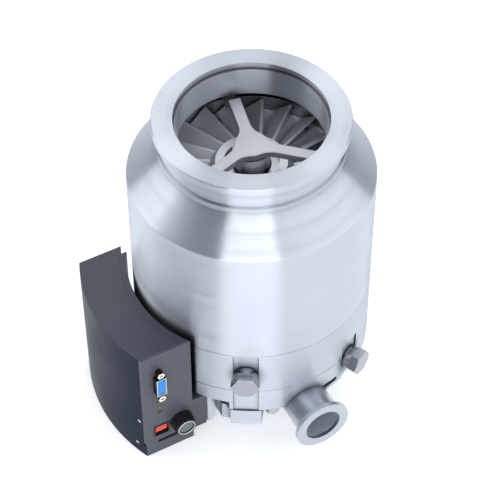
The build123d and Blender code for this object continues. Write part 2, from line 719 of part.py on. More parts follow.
with BuildPart() as base_housing:
    turned_shape(
        [
            (liner_radius + slip_fit, spigot_top),
            (ring_radius, spigot_top),
            (ring_radius, parting_line),
            (body_radius - seam_bevel, parting_line),
            (body_radius, parting_line - seam_bevel),
            (body_radius, base_band_line + 0.4),
            (body_radius - 0.4, base_band_line),
            (body_radius, base_band_line - 0.4),
            (body_radius, base_band_bottom + 0.8),
            (body_radius - 0.8, base_band_bottom),
            (plinth_radius, base_band_bottom),
            (plinth_radius, base_bottom + 0.5),
            (plinth_radius - 0.5, base_bottom),
            (cover_radius + slip_fit, base_bottom),
            (cover_radius + slip_fit, cover_top),
            (reservoir_radius, cover_top),
            (reservoir_radius, reservoir_top),
            (bearing_well, reservoir_top),
            (bearing_well, base_floor_top),
            (holweck_liner_radius, base_floor_top),
        ]
    )
    # Feet, each with a tapped hole in its underside
    for angle in foot_angles:
        with BuildSketch(turned(angle, base_bottom)):
            with BuildLine():
                Polyline(
                    (plinth_radius - 8.0, -foot_width_top / 2 - 1.5),
                    (body_radius, -foot_width_bottom / 2),
                    (body_radius, foot_width_bottom / 2),
                    (plinth_radius - 8.0, foot_width_top / 2 + 1.5),
                    close=True,
                )
            make_face()
        extrude(amount=base_band_bottom - base_bottom)
    ring(body_radius + 20.0, body_radius, base_band_line, base_bottom, mode=Mode.SUBTRACT)
    # Lobe under the band, flat where the drive's bracket is screwed on
    with BuildSketch(turned(drive_angle, base_bottom)):
        Circle(lobe_radius)
        with Locations(((lobe_inner + bracket_inner) / 2, 0)):
            Rectangle(bracket_inner - lobe_inner, 2 * lobe_radius, mode=Mode.INTERSECT)
    extrude(amount=base_band_bottom - base_bottom)
    drive_block(bracket_inner, body_radius, -body_radius, body_radius, base_band_bottom, base_bottom, Mode.SUBTRACT)
    drive_block(bracket_inner - relief_margin, body_radius + 1.0, -body_radius, body_radius, base_relief_top, base_band_bottom, Mode.SUBTRACT)
    with BuildSketch(Plane.XY.offset(base_bottom)):
        with PolarLocations(foot_thread_circle, len(foot_angles), foot_angles[0]):
            Circle(foot_thread_radius)
    extrude(amount=foot_thread_depth, mode=Mode.SUBTRACT)
    # Holes for the screws that pull the casing down
    with BuildSketch(Plane.XY.offset(base_band_bottom)):
        with PolarLocations(casing_screw_circle, casing_screws_count, casing_screw_first):
            Circle(casing_screw_radius + 0.3)
    extrude(amount=parting_line - base_band_bottom, mode=Mode.SUBTRACT)
    with BuildSketch(Plane.XY.offset(base_bottom)):
        for angle in screw_places[casing_screws_exposed:]:
            with Locations(Location((0, 0, 0), (0, 0, angle))):
                with Locations((casing_screw_circle, 0)):
                    Circle(screw_head_radius + 0.3)
    extrude(amount=head_seat_high - base_bottom, mode=Mode.SUBTRACT)
    # Groove of the casing seal
    seal_radius = casing_bore + seal_section + 0.8
    ring(
        seal_radius + seal_section + slip_fit,
        seal_radius - seal_section - slip_fit,
        parting_line,
        parting_line - 2 * seal_section,
        mode=Mode.SUBTRACT,
    )
    # Plug seats: a flat pocket, the thread and a gallery to the inside
    plug_seat = body_radius - plug_pocket_depth
    gallery = 2.0
    for angle, height, pocket_top, pocket_bottom in [
        (purge_angle, purge_height, parting_line - 1.0, base_band_bottom),
        (vent_angle, vent_height, vent_height + plug_hex, vent_height - plug_hex),
    ]:
        with BuildSketch(spoke_plane(angle, plug_seat, 0)):
            with Locations((0, (pocket_top + pocket_bottom) / 2)):
                Rectangle(plug_pocket_width, pocket_top - pocket_bottom)
        extrude(amount=3 * plug_pocket_depth, mode=Mode.SUBTRACT)
        spoke(plug_thread_radius + slip_fit, angle, plug_seat, plug_seat - plug_thread_length - 1.0, height, Mode.SUBTRACT)
    spoke(gallery, purge_angle, plug_seat, liner_radius - 1.0, purge_height, Mode.SUBTRACT)
    vent_riser = (motor_housing_radius + sleeve_radius) / 2
    spoke(gallery, vent_angle, plug_seat, vent_riser, vent_height, Mode.SUBTRACT)
    with BuildSketch(turned(vent_angle, vent_height)):
        with Locations((vent_riser, 0)):
            Circle(gallery)
    extrude(amount=base_floor_top - vent_height, mode=Mode.SUBTRACT)
    # Seat of the fore-vacuum port and its duct up to the Holweck stage
    spoke(port_tube_radius + slip_fit, port_angle, port_seat, body_radius + 5.0, port_height, Mode.SUBTRACT)
    spoke(port_spigot + slip_fit, port_angle, port_seat, port_seat - port_spigot_length - slip_fit, port_height, Mode.SUBTRACT)
    spoke(port_spigot - 2.0, port_angle, port_seat, port_duct_place - port_duct_radius - 1.0, port_height, Mode.SUBTRACT)
    spoke(port_spigot + 2 * seal_section + 2 * slip_fit, port_angle, port_seat, port_seat - 2 * seal_section, port_height, Mode.SUBTRACT)
    with BuildSketch(turned(port_angle, port_height)):
        with Locations((port_duct_place, 0)):
            Circle(port_duct_radius)
    extrude(amount=base_floor_top - port_height, mode=Mode.SUBTRACT)
    # Small slotted recess with two blind holes between the plugs and the port
    with BuildSketch(spoke_plane(recess_angle, body_radius - recess_depth, recess_height)):
        SlotOverall(recess_length, recess_width)
    extrude(amount=2 * recess_depth, mode=Mode.SUBTRACT)
    with BuildSketch(spoke_plane(recess_angle, body_radius - recess_depth, recess_height)):
        with GridLocations(recess_length - recess_width, 0, 2, 1):
            Circle(recess_width / 2 - 0.6)
    extrude(amount=-2 * recess_depth, mode=Mode.SUBTRACT)
    # Bracket screws and the passage of the motor leads
    for side in (-bracket_screw_side, bracket_screw_side):
        drive_rod(bracket_screw_radius + slip_fit / 2, side, bracket_screw_height, bracket_inner, bracket_inner - bracket_screw_depth, Mode.SUBTRACT)
    drive_rod(feed_radius + slip_fit, 0, feed_height, bracket_inner, feed_inner, Mode.SUBTRACT)
    with BuildSketch(turned(drive_angle, feed_height)):
        with Locations((motor_housing_radius + 4.0, 0)):
            Circle(3.0)
    extrude(amount=base_floor_top - feed_height, mode=Mode.SUBTRACT)
    # Threads of the cover screws
    with BuildSketch(Plane.XY.offset(cover_top)):
        with PolarLocations(cover_screw_circle, cover_screws_count):
            Circle(cover_screw_radius + slip_fit / 2)
    extrude(amount=cover_screw_length - cover_thickness, mode=Mode.SUBTRACT)
base_housing.part.label = "base_housing"
export_step(base_housing.part, "parts/base_housing.step")

with BuildPart() as casing_seal:
    seal_ring(seal_radius, parting_line - seal_section)
casing_seal.part.label = "casing_seal"
export_step(casing_seal.part, "parts/casing_seal.step")

# Socket-head screws from below, through the base into the casing wall.
with BuildPart() as casing_screws:
    for number, angle in enumerate(screw_places):
        seat = base_band_bottom if number < casing_screws_exposed else head_seat_high
        with BuildSketch(turned(angle, seat)):
            with Locations((casing_screw_circle, 0)):
                Circle(casing_screw_radius)
        extrude(amount=parting_line + casing_thread_depth - seat)
        with BuildSketch(turned(angle, seat - screw_head_height)):
            with Locations((casing_screw_circle, 0)):
                Circle(screw_head_radius)
        extrude(amount=screw_head_height)
        with BuildSketch(turned(angle, seat - screw_head_height)):
            with Locations((casing_screw_circle, 0)):
                RegularPolygon(2.5, 6, major_radius=False)
        extrude(amount=screw_head_height / 2, mode=Mode.SUBTRACT)
casing_screws.part.label = "casing_screws"
export_step(casing_screws.part, "parts/casing_screws.step")

# ---------------------------------------------------------------- Holweck liner
# Fixed sleeve round the rotor's bell, standing on the base floor. Its flange takes
# the load of the stator stack. The turning bell drags the gas down its bore.
liner_bore = sleeve_radius + holweck_gap
with BuildPart() as holweck_stator:
    turned_shape(
        [
            (liner_bore, stack_bottom),
            (ring_radius, stack_bottom),
            (ring_radius, stack_bottom - holweck_flange),
            (liner_radius, stack_bottom - holweck_flange),
            (liner_radius, base_floor_top),
            (liner_bore, base_floor_top),
        ]
    )
holweck_stator.part.label = "holweck_stator"
export_step(holweck_stator.part, "parts/holweck_stator.step")

# ---------------------------------------------------------------- motor
tower_top = motor_core_top + 10.0
with BuildPart() as motor_housing:
    turned_shape(
        [
            (recess_radius + 2.0, tower_top),
            (motor_housing_radius - 1.0, tower_top),
            (motor_housing_radius, tower_top - 1.0),
            (motor_housing_radius, base_floor_top),
            (motor_bore, base_floor_top),
            (motor_bore, tower_top - 4.0),
            (recess_radius + 2.0, tower_top - 4.0),
        ]
    )
motor_housing.part.label = "motor_housing"
export_step(motor_housing.part, "parts/motor_housing.step")

slot_inner = stator_tooth_bore + 3.0
slot_outer = motor_bore - 6.0
slot_width = 10.0
slot_mouth = 3.0
slot_insulation = 0.2
with BuildPart() as motor_core:
    ring(motor_bore - slip_fit / 2, stator_tooth_bore, motor_core_top, motor_core_bottom)
    with BuildSketch(Plane.XY.offset(motor_core_bottom)):
        with PolarLocations(0, motor_slots):
            with Locations(((slot_inner + slot_outer) / 2, 0)):
                Rectangle(slot_outer - slot_inner, slot_width)
            with Locations((slot_inner, 0)):
                Rectangle(2 * (slot_inner - stator_tooth_bore) + 1.0, slot_mouth)
    extrude(amount=motor_core_length, mode=Mode.SUBTRACT)
motor_core.part.label = "motor_core"
export_step(motor_core.part, "parts/motor_core.step")

end_turn = 5.0
with BuildPart() as motor_windings:
    with BuildSketch(Plane.XY.offset(motor_core_bottom - slot_insulation)):
        with PolarLocations(0, motor_slots):
            with Locations(((slot_inner + slot_outer) / 2, 0)):
                Rectangle(
                    slot_outer - slot_inner - 2 * slot_insulation,
                    slot_width - 2 * slot_insulation,
                )
    extrude(amount=motor_core_length + 2 * slot_insulation)
    for low in (motor_core_top + slot_insulation, motor_core_bottom - slot_insulation - end_turn):
        ring(slot_outer + 1.0, slot_inner, low + end_turn, low)
motor_windings.part.label = "motor_windings"
export_step(motor_windings.part, "parts/motor_windings.step")

# ---------------------------------------------------------------- main bearing seat
# The lower bearing sits in a sleeve that two rubber rings hold in the base floor.
sleeve_outer = bearing_well - 2 * seal_section
with BuildPart() as bearing_sleeve:
    turned_shape(
        [
            (bearing_outer_radius + slip_fit / 2, bearing_top + 1.0),
            (sleeve_outer, bearing_top + 1.0),
            (sleeve_outer, bearing_bottom - 3.0),
            (bearing_outer_radius - 1.5, bearing_bottom - 3.0),
            (bearing_outer_radius - 1.5, bearing_bottom),
            (bearing_outer_radius + slip_fit / 2, bearing_bottom),
        ]
    )
bearing_sleeve.part.label = "bearing_sleeve"
export_step(bearing_sleeve.part, "parts/bearing_sleeve.step")

with BuildPart() as damping_rings:
    for height in (bearing_top - 1.0, bearing_bottom):
        seal_ring(sleeve_outer + seal_section, height)
damping_rings.part.label = "damping_rings"
export_step(damping_rings.part, "parts/damping_rings.step")

with BuildPart() as lubricant_reservoir:
    turned_shape(
        [
            (bearing_seat_radius + 4.5, reservoir_top - 0.2),
            (reservoir_radius - slip_fit, reservoir_top - 0.2),
            (reservoir_radius - slip_fit, cover_top),
            (bearing_seat_radius + 4.5, cover_top),
        ]
    )
lubricant_reservoir.part.label = "lubricant_reservoir"
export_step(lubricant_reservoir.part, "parts/lubricant_reservoir.step")

cover_seal_radius = reservoir_radius + seal_section + 0.5
with BuildPart() as bottom_cover:
    ring(cover_radius, 0, cover_top, base_bottom)
    ring(
        cover_seal_radius + seal_section + slip_fit,
        cover_seal_radius - seal_section - slip_fit,
        cover_top,
        cover_top - 2 * seal_section,
        mode=Mode.SUBTRACT,
    )
    with Locations(Plane.XY.offset(base_bottom)):
        with PolarLocations(cover_screw_circle, cover_screws_count):
            Cylinder(
                cover_screw_radius + slip_fit,
                cover_thickness,
                align=(Align.CENTER, Align.CENTER, Align.MIN),
                mode=Mode.SUBTRACT,
            )
            Cylinder(
                cover_screw_head + slip_fit,
                cover_screw_head,
                align=(Align.CENTER, Align.CENTER, Align.MIN),
                mode=Mode.SUBTRACT,
            )
bottom_cover.part.label = "bottom_cover"
export_step(bottom_cover.part, "parts/bottom_cover.step")

with BuildPart() as cover_seal:
    seal_ring(cover_seal_radius, cover_top - seal_section)
cover_seal.part.label = "cover_seal"
export_step(cover_seal.part, "parts/cover_seal.step")

with BuildPart() as cover_screws:
    with Locations(Plane.XY.offset(base_bottom)):
        with PolarLocations(cover_screw_circle, cover_screws_count):
            Cylinder(
                cover_screw_radius,
                cover_screw_length - slip_fit,
                align=(Align.CENTER, Align.CENTER, Align.MIN),
            )
            Cylinder(
                cover_screw_head,
                cover_screw_head,
                align=(Align.CENTER, Align.CENTER, Align.MIN),
            )
cover_screws.part.label = "cover_screws"
export_step(cover_screws.part, "parts/cover_screws.step")


# ---------------------------------------------------------------- screw plugs
def screw_plug(name, angle, height):
    """Hexagon plug with a round collar and a turned face, and its sealing ring."""
    with BuildPart() as gasket:
        spoke(plug_collar_radius, angle, plug_seat, plug_seat + plug_gasket, height)
        spoke(plug_thread_radius + slip_fit, angle, plug_seat, plug_seat + plug_gasket, height, Mode.SUBTRACT)
    gasket.part.label = f"{name}_gasket"
    export_step(gasket.part, f"parts/{name}_gasket.step")
    face = plug_seat + plug_reach
    with BuildPart() as plug:
        with BuildSketch(spoke_plane(angle, face - plug_hex_height, height)):
            RegularPolygon(plug_hex / 2, 6, major_radius=False)
        extrude(amount=plug_hex_height)
        corner = plug_hex / sqrt(3)
        turning = Plane(
            origin=(0, 0, height),
            x_dir=spoke_plane(angle, 0, height).z_dir,
            z_dir=-spoke_plane(angle, 0, height).x_dir,
        )
        with BuildSketch(turning):
            with BuildLine():
                Polyline(
                    (face - plug_hex_height - 1.0, 0),
                    (face - plug_hex_height - 1.0, corner + 1.0),
                    (face - 1.2, corner + 1.0),
                    (face, plug_hex / 2 - 0.4),
                    (face, 0),
                    close=True,
                )
            make_face()
        revolve(axis=Axis((0, 0, height), tuple(turning.x_dir)), mode=Mode.INTERSECT)
        spoke(plug_collar_radius, angle, plug_seat + plug_gasket, face - plug_hex_height, height)
        spoke(plug_thread_radius, angle, plug_seat - plug_thread_length, plug_seat + plug_gasket, height)
    plug.part.label = f"{name}_plug"
    export_step(plug.part, f"parts/{name}_plug.step")


screw_plug("purge", purge_angle, purge_height)
screw_plug("vent", vent_angle, vent_height)

# ---------------------------------------------------------------- fore-vacuum port
# Turned small-flange tube with a spigot in the plinth. The flange's rear side is the
# clamping cone, and its recess takes the centring ring.
port_out = spoke_plane(port_angle, 0, port_height).z_dir
port_turning = Plane(
    origin=(0, 0, port_height),
    x_dir=port_out,
    z_dir=-spoke_plane(port_angle, 0, port_height).x_dir,
)
port_cone = (port_flange_radius - port_tube_radius) * tan(radians(15.0))
with BuildPart() as forevacuum_port:
    with BuildSketch(port_turning):
        with BuildLine():
            Polyline(
                (port_seat - port_spigot_length, port_spigot - 2.0),
                (port_seat - port_spigot_length, port_spigot),
                (port_seat, port_spigot),
                (port_seat, port_tube_radius),
                (port_face_radius - port_flange_rim - port_cone, port_tube_radius),
                (port_face_radius - port_flange_rim, port_flange_radius),
                (port_face_radius, port_flange_radius),
                (port_face_radius, port_recess_radius),
                (port_face_radius - port_recess_depth, port_recess_radius),
                (port_face_radius - port_recess_depth, port_bore),
                (port_seat + port_spigot_length, port_bore),
                (port_seat + port_spigot_length, port_spigot - 2.0),
                close=True,
            )
        make_face()
    revolve(axis=Axis((0, 0, port_height), tuple(port_out)))
forevacuum_port.part.label = "forevacuum_port"
export_step(forevacuum_port.part, "parts/forevacuum_port.step")

with BuildPart() as port_seal:
    with BuildSketch(port_turning):
        with Locations((port_seat - seal_section, port_spigot + slip_fit + seal_section)):
            Circle(seal_section)
    revolve(axis=Axis((0, 0, port_height), tuple(port_out)))
port_seal.part.label = "port_seal"
export_step(port_seal.part, "parts/port_seal.step")

# ---------------------------------------------------------------- drive bracket
# Plate on the lobe's flat. The drive's housing hangs on its outer face.
with BuildPart() as drive_bracket:
    drive_block(bracket_inner, drive_foot_inner, -drive_half_length, drive_half_length, bracket_top, bracket_bottom)
    lower_edges = drive_bracket.edges().group_by(Axis.Z)[0]
    bevelled = lower_edges.filter_by(lambda edge: edge.length > drive_half_length).sort_by_distance((0, 0, bracket_bottom))
    chamfer(bevelled[0], length=4.0)
    for side in (-bracket_screw_side, bracket_screw_side):
        drive_rod(bracket_screw_radius + 2 * slip_fit, side, bracket_screw_height, bracket_inner, drive_foot_inner, Mode.SUBTRACT)
        drive_rod(2 * bracket_screw_radius, side, bracket_screw_height, bracket_inner + 2.0, drive_foot_inner, Mode.SUBTRACT)
    drive_rod(feed_radius + slip_fit, 0, feed_height, bracket_inner, drive_foot_inner, Mode.SUBTRACT)
drive_bracket.part.label = "drive_bracket"
export_step(drive_bracket.part, "parts/drive_bracket.step")

with BuildPart() as bracket_screws:
    for side in (-bracket_screw_side, bracket_screw_side):
        drive_rod(bracket_screw_radius, side, bracket_screw_height, bracket_inner - bracket_screw_depth + 0.5, bracket_inner + 2.0)
        drive_rod(2 * bracket_screw_radius - slip_fit, side, bracket_screw_height, bracket_inner + 2.0, drive_foot_inner - 0.3)
bracket_screws.part.label = "bracket_screws"
export_step(bracket_screws.part, "parts/bracket_screws.step")

with BuildPart() as motor_feedthrough:
    drive_rod(feed_radius, 0, feed_height, feed_inner + 0.2, drive_foot_inner + drive_floor + 2.0)
motor_feedthrough.part.label = "motor_feedthrough"
export_step(motor_feedthrough.part, "parts/motor_feedthrough.step")

# ---------------------------------------------------------------- electronic drive
# Curved box round the pump: an inner housing with its foot, the outer cover, and the
# panel with the connectors at its front end.
panel_back = drive_half_length - panel_thickness
lip_top = panel_bottom - panel_slot
lip_inner = drive_foot_inner + 11.5
board_out = drive_seam_radius + 1.5
board_side = 32.0
stand_off_side = 28.0
stand_off_heights = [drive_top - 14.0, drive_foot_top + 8.0]
with BuildPart() as drive_housing:
    drive_arc(drive_inner_radius, drive_seam_radius, -panel_back, panel_back, drive_top, drive_foot_top - drive_floor)
    with BuildSketch(turned(drive_angle, drive_foot_bottom)):
        Circle(drive_seam_radius)
        with Locations(((drive_foot_inner + drive_seam_radius) / 2, 0)):
            Rectangle(drive_seam_radius - drive_foot_inner, 2 * panel_back, mode=Mode.INTERSECT)
    extrude(amount=drive_foot_top - drive_foot_bottom)
    drive_block(
        drive_foot_inner + drive_floor,
        drive_seam_radius + 5.0,
        -panel_back + drive_wall,
        panel_back,
        drive_foot_top - drive_floor,
        lip_top,
        Mode.SUBTRACT,
    )
    drive_block(lip_inner - slip_fit, drive_outer_radius, -drive_half_length, drive_half_length, lip_top, drive_foot_bottom, Mode.SUBTRACT)
    drive_rod(feed_radius + slip_fit, 0, feed_height, drive_foot_inner, drive_foot_inner + drive_floor, Mode.SUBTRACT)
    for height in stand_off_heights:
        for side in (-stand_off_side, stand_off_side):
            drive_rod(3.0, side, height, drive_seam_radius - 7.0, board_out)
drive_housing.part.label = "drive_housing"
export_step(drive_housing.part, "parts/drive_housing.step")

with BuildPart() as drive_cover:
    drive_arc(drive_seam_radius + slip_fit, drive_outer_radius, -drive_tail, panel_back, drive_top, lip_top)
    with BuildSketch(turned(drive_angle, drive_bottom)):
        Circle(drive_outer_radius)
        with Locations(((lip_inner + drive_outer_radius) / 2, (drive_half_length - drive_tail) / 2)):
            Rectangle(
                drive_outer_radius - lip_inner,
                drive_half_length + drive_tail,
                mode=Mode.INTERSECT,
            )
    extrude(amount=lip_top - drive_bottom)
    drive_arc(
        drive_seam_radius - 1.0,
        drive_outer_radius - drive_wall,
        -drive_tail + drive_wall,
        panel_back,
        drive_top - drive_wall,
        lip_top,
        Mode.SUBTRACT,
    )
    with BuildSketch(turned(drive_angle, drive_bottom + drive_wall)):
        Circle(drive_outer_radius - drive_wall)
        hollow_front = panel_back - slip_fit
        hollow_back = drive_tail - drive_wall
        with Locations(((lip_inner + drive_outer_radius + drive_wall) / 2, (hollow_front - hollow_back) / 2)):
            Rectangle(
                drive_outer_radius - lip_inner - drive_wall,
                hollow_front + hollow_back,
                mode=Mode.INTERSECT,
            )
    extrude(amount=lip_top - drive_bottom, mode=Mode.SUBTRACT)
drive_cover.part.label = "drive_cover"
export_step(drive_cover.part, "parts/drive_cover.step")

# Front panel: an upright plate that follows both arcs and is deeper beside the foot.
data_plane = Plane(
    origin=turned(drive_angle, 0).from_local_coords((0, drive_half_length, 0)),
    x_dir=turned(drive_angle, 0).x_dir,
    z_dir=turned(drive_angle, 0).y_dir,
)


def panel_rod(radius, out, height, start, end, mode=Mode.ADD):
    """Round bar or bore square to the front panel, measured from its face."""
    with BuildSketch(data_plane.offset(start)) as face:
        with Locations((out, -height)):
            Circle(radius)
    extrude(face.sketch, amount=end - start, mode=mode)


def panel_block(width, tall, out, height, start, end, mode=Mode.ADD):
    """Block square to the front panel, measured from its face."""
    with BuildSketch(data_plane.offset(start)) as face:
        with Locations((out, -height)):
            Rectangle(width, tall)
    extrude(face.sketch, amount=end - start, mode=mode)


with BuildPart() as connector_panel:
    drive_arc(drive_inner_radius, drive_outer_radius, panel_back, drive_half_length, drive_top, drive_foot_top)
    with BuildSketch(turned(drive_angle, panel_bottom)):
        Circle(drive_outer_radius)
        with Locations(((drive_foot_inner + drive_outer_radius) / 2, (panel_back + drive_half_length) / 2)):
            Rectangle(drive_outer_radius - drive_foot_inner, panel_thickness, mode=Mode.INTERSECT)
    extrude(amount=drive_foot_top - panel_bottom)
    panel_block(data_width + 2 * slip_fit, data_length + 2 * slip_fit, data_port_out, data_port_height, -panel_thickness, 0, Mode.SUBTRACT)
    panel_block(usb_width + 2 * slip_fit, usb_tall + 2 * slip_fit, usb_out, usb_height, -panel_thickness, 0, Mode.SUBTRACT)
    panel_rod(power_body_radius + slip_fit, power_out, power_height, -panel_thickness, 0, Mode.SUBTRACT)
    for height in lamp_heights:
        panel_rod(lamp_radius + slip_fit, lamp_out, height, -panel_thickness, 0, Mode.SUBTRACT)
    for offset in (-jack_screw_spacing / 2, jack_screw_spacing / 2):
        panel_rod(jack_thread + slip_fit, data_port_out, data_port_height + offset, -panel_thickness, 0, Mode.SUBTRACT)
connector_panel.part.label = "connector_panel"
export_step(connector_panel.part, "parts/connector_panel.step")

# Sub-D socket: a flange behind the panel and a D-shaped shell through it.
with BuildPart() as data_connector:
    panel_block(data_width, data_length, data_port_out, data_port_height, -data_depth, data_reach)
    panel_block(data_width - 1.6, data_length - 1.6, data_port_out, data_port_height, data_reach - 1.2, data_reach, Mode.SUBTRACT)
    panel_block(data_width + 4.0, jack_screw_spacing + 6.0, data_port_out, data_port_height, -panel_thickness - 1.5, -panel_thickness)
    for offset in (-jack_screw_spacing / 2, jack_screw_spacing / 2):
        panel_rod(jack_thread + slip_fit, data_port_out, data_port_height + offset, -panel_thickness - 1.5, -panel_thickness, Mode.SUBTRACT)
data_connector.part.label = "data_connector"
export_step(data_connector.part, "parts/data_connector.step")

with BuildPart() as jack_screws:
    for offset in (-jack_screw_spacing / 2, jack_screw_spacing / 2):
        with BuildSketch(data_plane):
            with Locations((data_port_out, -data_port_height - offset)):
                RegularPolygon(2.4, 6, major_radius=False)
                Circle(1.3, mode=Mode.SUBTRACT)
        extrude(amount=data_reach)
        panel_rod(jack_thread, data_port_out, data_port_height + offset, -panel_thickness - 1.5, 0)
jack_screws.part.label = "jack_screws"
export_step(jack_screws.part, "parts/jack_screws.step")

with BuildPart() as usb_socket:
    panel_block(usb_width, usb_tall, usb_out, usb_height, -usb_depth, 0.6)
    panel_block(usb_width - 1.6, usb_tall - 1.6, usb_out, usb_height, -usb_depth + 2.0, 0.6, Mode.SUBTRACT)
    panel_block(usb_width / 2, usb_tall / 2.4, usb_out, usb_height, -usb_depth + 1.0, -0.6)
usb_socket.part.label = "usb_socket"
export_step(usb_socket.part, "parts/usb_socket.step")

with BuildPart() as power_connector:
    panel_rod(power_radius, power_out, power_height, 0, 2.5)
    panel_rod(power_radius - 1.0, power_out, power_height, 2.5, power_length)
    panel_rod(power_body_radius, power_out, power_height, -power_depth, 0)
    panel_rod(power_radius - 2.8, power_out, power_height, power_length - 7.0, power_length, Mode.SUBTRACT)
    panel_rod(power_radius - 4.4, power_out, power_height, power_length - 7.0, power_length - 1.0)
power_connector.part.label = "power_connector"
export_step(power_connector.part, "parts/power_connector.step")

with BuildPart() as status_lamps:
    for height in lamp_heights:
        panel_rod(lamp_radius, lamp_out, height, -panel_thickness, 0.3)
status_lamps.part.label = "status_lamps"
export_step(status_lamps.part, "parts/status_lamps.step")

with BuildPart() as circuit_board:
    drive_block(board_out, board_out + 1.6, -board_side, board_side, drive_top - drive_wall - 4.0, lip_top + 4.0)
circuit_board.part.label = "circuit_board"
export_step(circuit_board.part, "parts/circuit_board.step")
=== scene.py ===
"""Turbomolecular pump: finishes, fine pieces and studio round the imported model."""
import json
from math import atan2, cos, degrees, pi, radians, sin

import bmesh
import bpy
from mathutils import Matrix, Vector

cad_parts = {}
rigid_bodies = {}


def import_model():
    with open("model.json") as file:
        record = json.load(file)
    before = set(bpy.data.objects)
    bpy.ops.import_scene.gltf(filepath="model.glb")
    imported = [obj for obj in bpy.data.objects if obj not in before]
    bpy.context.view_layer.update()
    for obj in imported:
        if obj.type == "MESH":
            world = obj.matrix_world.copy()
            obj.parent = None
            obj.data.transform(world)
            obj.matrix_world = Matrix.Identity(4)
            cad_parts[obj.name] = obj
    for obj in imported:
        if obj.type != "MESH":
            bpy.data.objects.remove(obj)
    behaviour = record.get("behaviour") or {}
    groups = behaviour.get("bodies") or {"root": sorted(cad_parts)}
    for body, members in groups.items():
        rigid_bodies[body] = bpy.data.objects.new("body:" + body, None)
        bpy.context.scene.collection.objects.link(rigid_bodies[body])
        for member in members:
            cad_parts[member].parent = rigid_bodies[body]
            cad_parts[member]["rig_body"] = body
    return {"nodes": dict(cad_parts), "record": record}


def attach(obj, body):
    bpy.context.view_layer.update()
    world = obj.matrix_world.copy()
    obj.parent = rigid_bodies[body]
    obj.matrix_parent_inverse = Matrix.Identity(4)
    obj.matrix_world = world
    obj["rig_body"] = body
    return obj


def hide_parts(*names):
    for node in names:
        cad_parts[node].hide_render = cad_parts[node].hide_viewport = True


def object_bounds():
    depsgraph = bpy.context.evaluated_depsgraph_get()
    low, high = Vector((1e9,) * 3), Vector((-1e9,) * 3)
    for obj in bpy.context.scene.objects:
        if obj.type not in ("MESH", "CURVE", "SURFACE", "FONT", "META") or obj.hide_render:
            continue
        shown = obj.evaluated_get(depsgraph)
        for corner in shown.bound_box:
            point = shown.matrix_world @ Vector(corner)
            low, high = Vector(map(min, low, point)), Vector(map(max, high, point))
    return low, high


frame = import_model()
cad_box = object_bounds()
nodes = frame["nodes"]


# ------------------------------------------------------------ casing
# The upper casing is one aluminium turning: clamped flange, neck, cone and cylinder.
# It is turned fine and then satin finished, so it mirrors light in soft bands.
millimetre = 0.001


def linear(hexadecimal):
    """An sRGB hex colour as the linear RGBA that a shader takes."""
    channels = [int(hexadecimal[i : i + 2], 16) / 255 for i in (1, 3, 5)]
    scene_light = [c / 12.92 if c <= 0.04045 else ((c + 0.055) / 1.055) ** 2.4 for c in channels]
    return (*scene_light, 1.0)


def add_node(tree, kind, settings=None, values=None, links=None):
    """Adds a node to a tree with its settings, socket values and incoming links."""
    made = tree.nodes.new(kind)
    for name, value in (settings or {}).items():
        setattr(made, name, value)
    for socket, value in (values or {}).items():
        made.inputs[socket].default_value = value
    for socket, source in (links or {}).items():
        tree.links.new(source, made.inputs[socket])
    return made


def new_material(name, base, metallic, roughness, **sockets):
    """A material with one principled shader, and the tree and shader to build on."""
    material = bpy.data.materials.new(name)
    material.use_nodes = True
    shader = material.node_tree.nodes["Principled BSDF"]
    shader.inputs["Base Color"].default_value = linear(base)
    shader.inputs["Metallic"].default_value = metallic
    shader.inputs["Roughness"].default_value = roughness
    for socket, value in sockets.items():
        shader.inputs[socket.replace("_", " ")].default_value = value
    return material, material.node_tree, shader


def feed_run(tree, azimuth, height):
    """The place on a piece, and how far a lathe's tool has run to reach it, along the
    turning axis and in towards it. The axis is vertical unless an azimuth is given."""
    turning_axis = "Z"
    place = add_node(tree, "ShaderNodeTexCoord").outputs["Object"]
    if azimuth is not None:
        turning_axis = "X"
        place = add_node(
            tree,
            "ShaderNodeMapping",
            {"vector_type": "TEXTURE"},
            {"Location": (0, 0, height), "Rotation": (0, 0, radians(azimuth))},
            {"Vector": place},
        ).outputs["Vector"]
    split = add_node(tree, "ShaderNodeSeparateXYZ", links={"Vector": place})
    across = [split.outputs[axis] for axis in "XYZ" if axis != turning_axis]
    flat = add_node(tree, "ShaderNodeCombineXYZ", links={"X": across[0], "Y": across[1]})
    radius = add_node(
        tree, "ShaderNodeVectorMath", {"operation": "LENGTH"}, links={"Vector": flat.outputs[0]}
    )
    run = add_node(
        tree,
        "ShaderNodeMath",
        {"operation": "SUBTRACT"},
        links={0: split.outputs[turning_axis], 1: radius.outputs["Value"]},
    )
    return place, run.outputs[0]


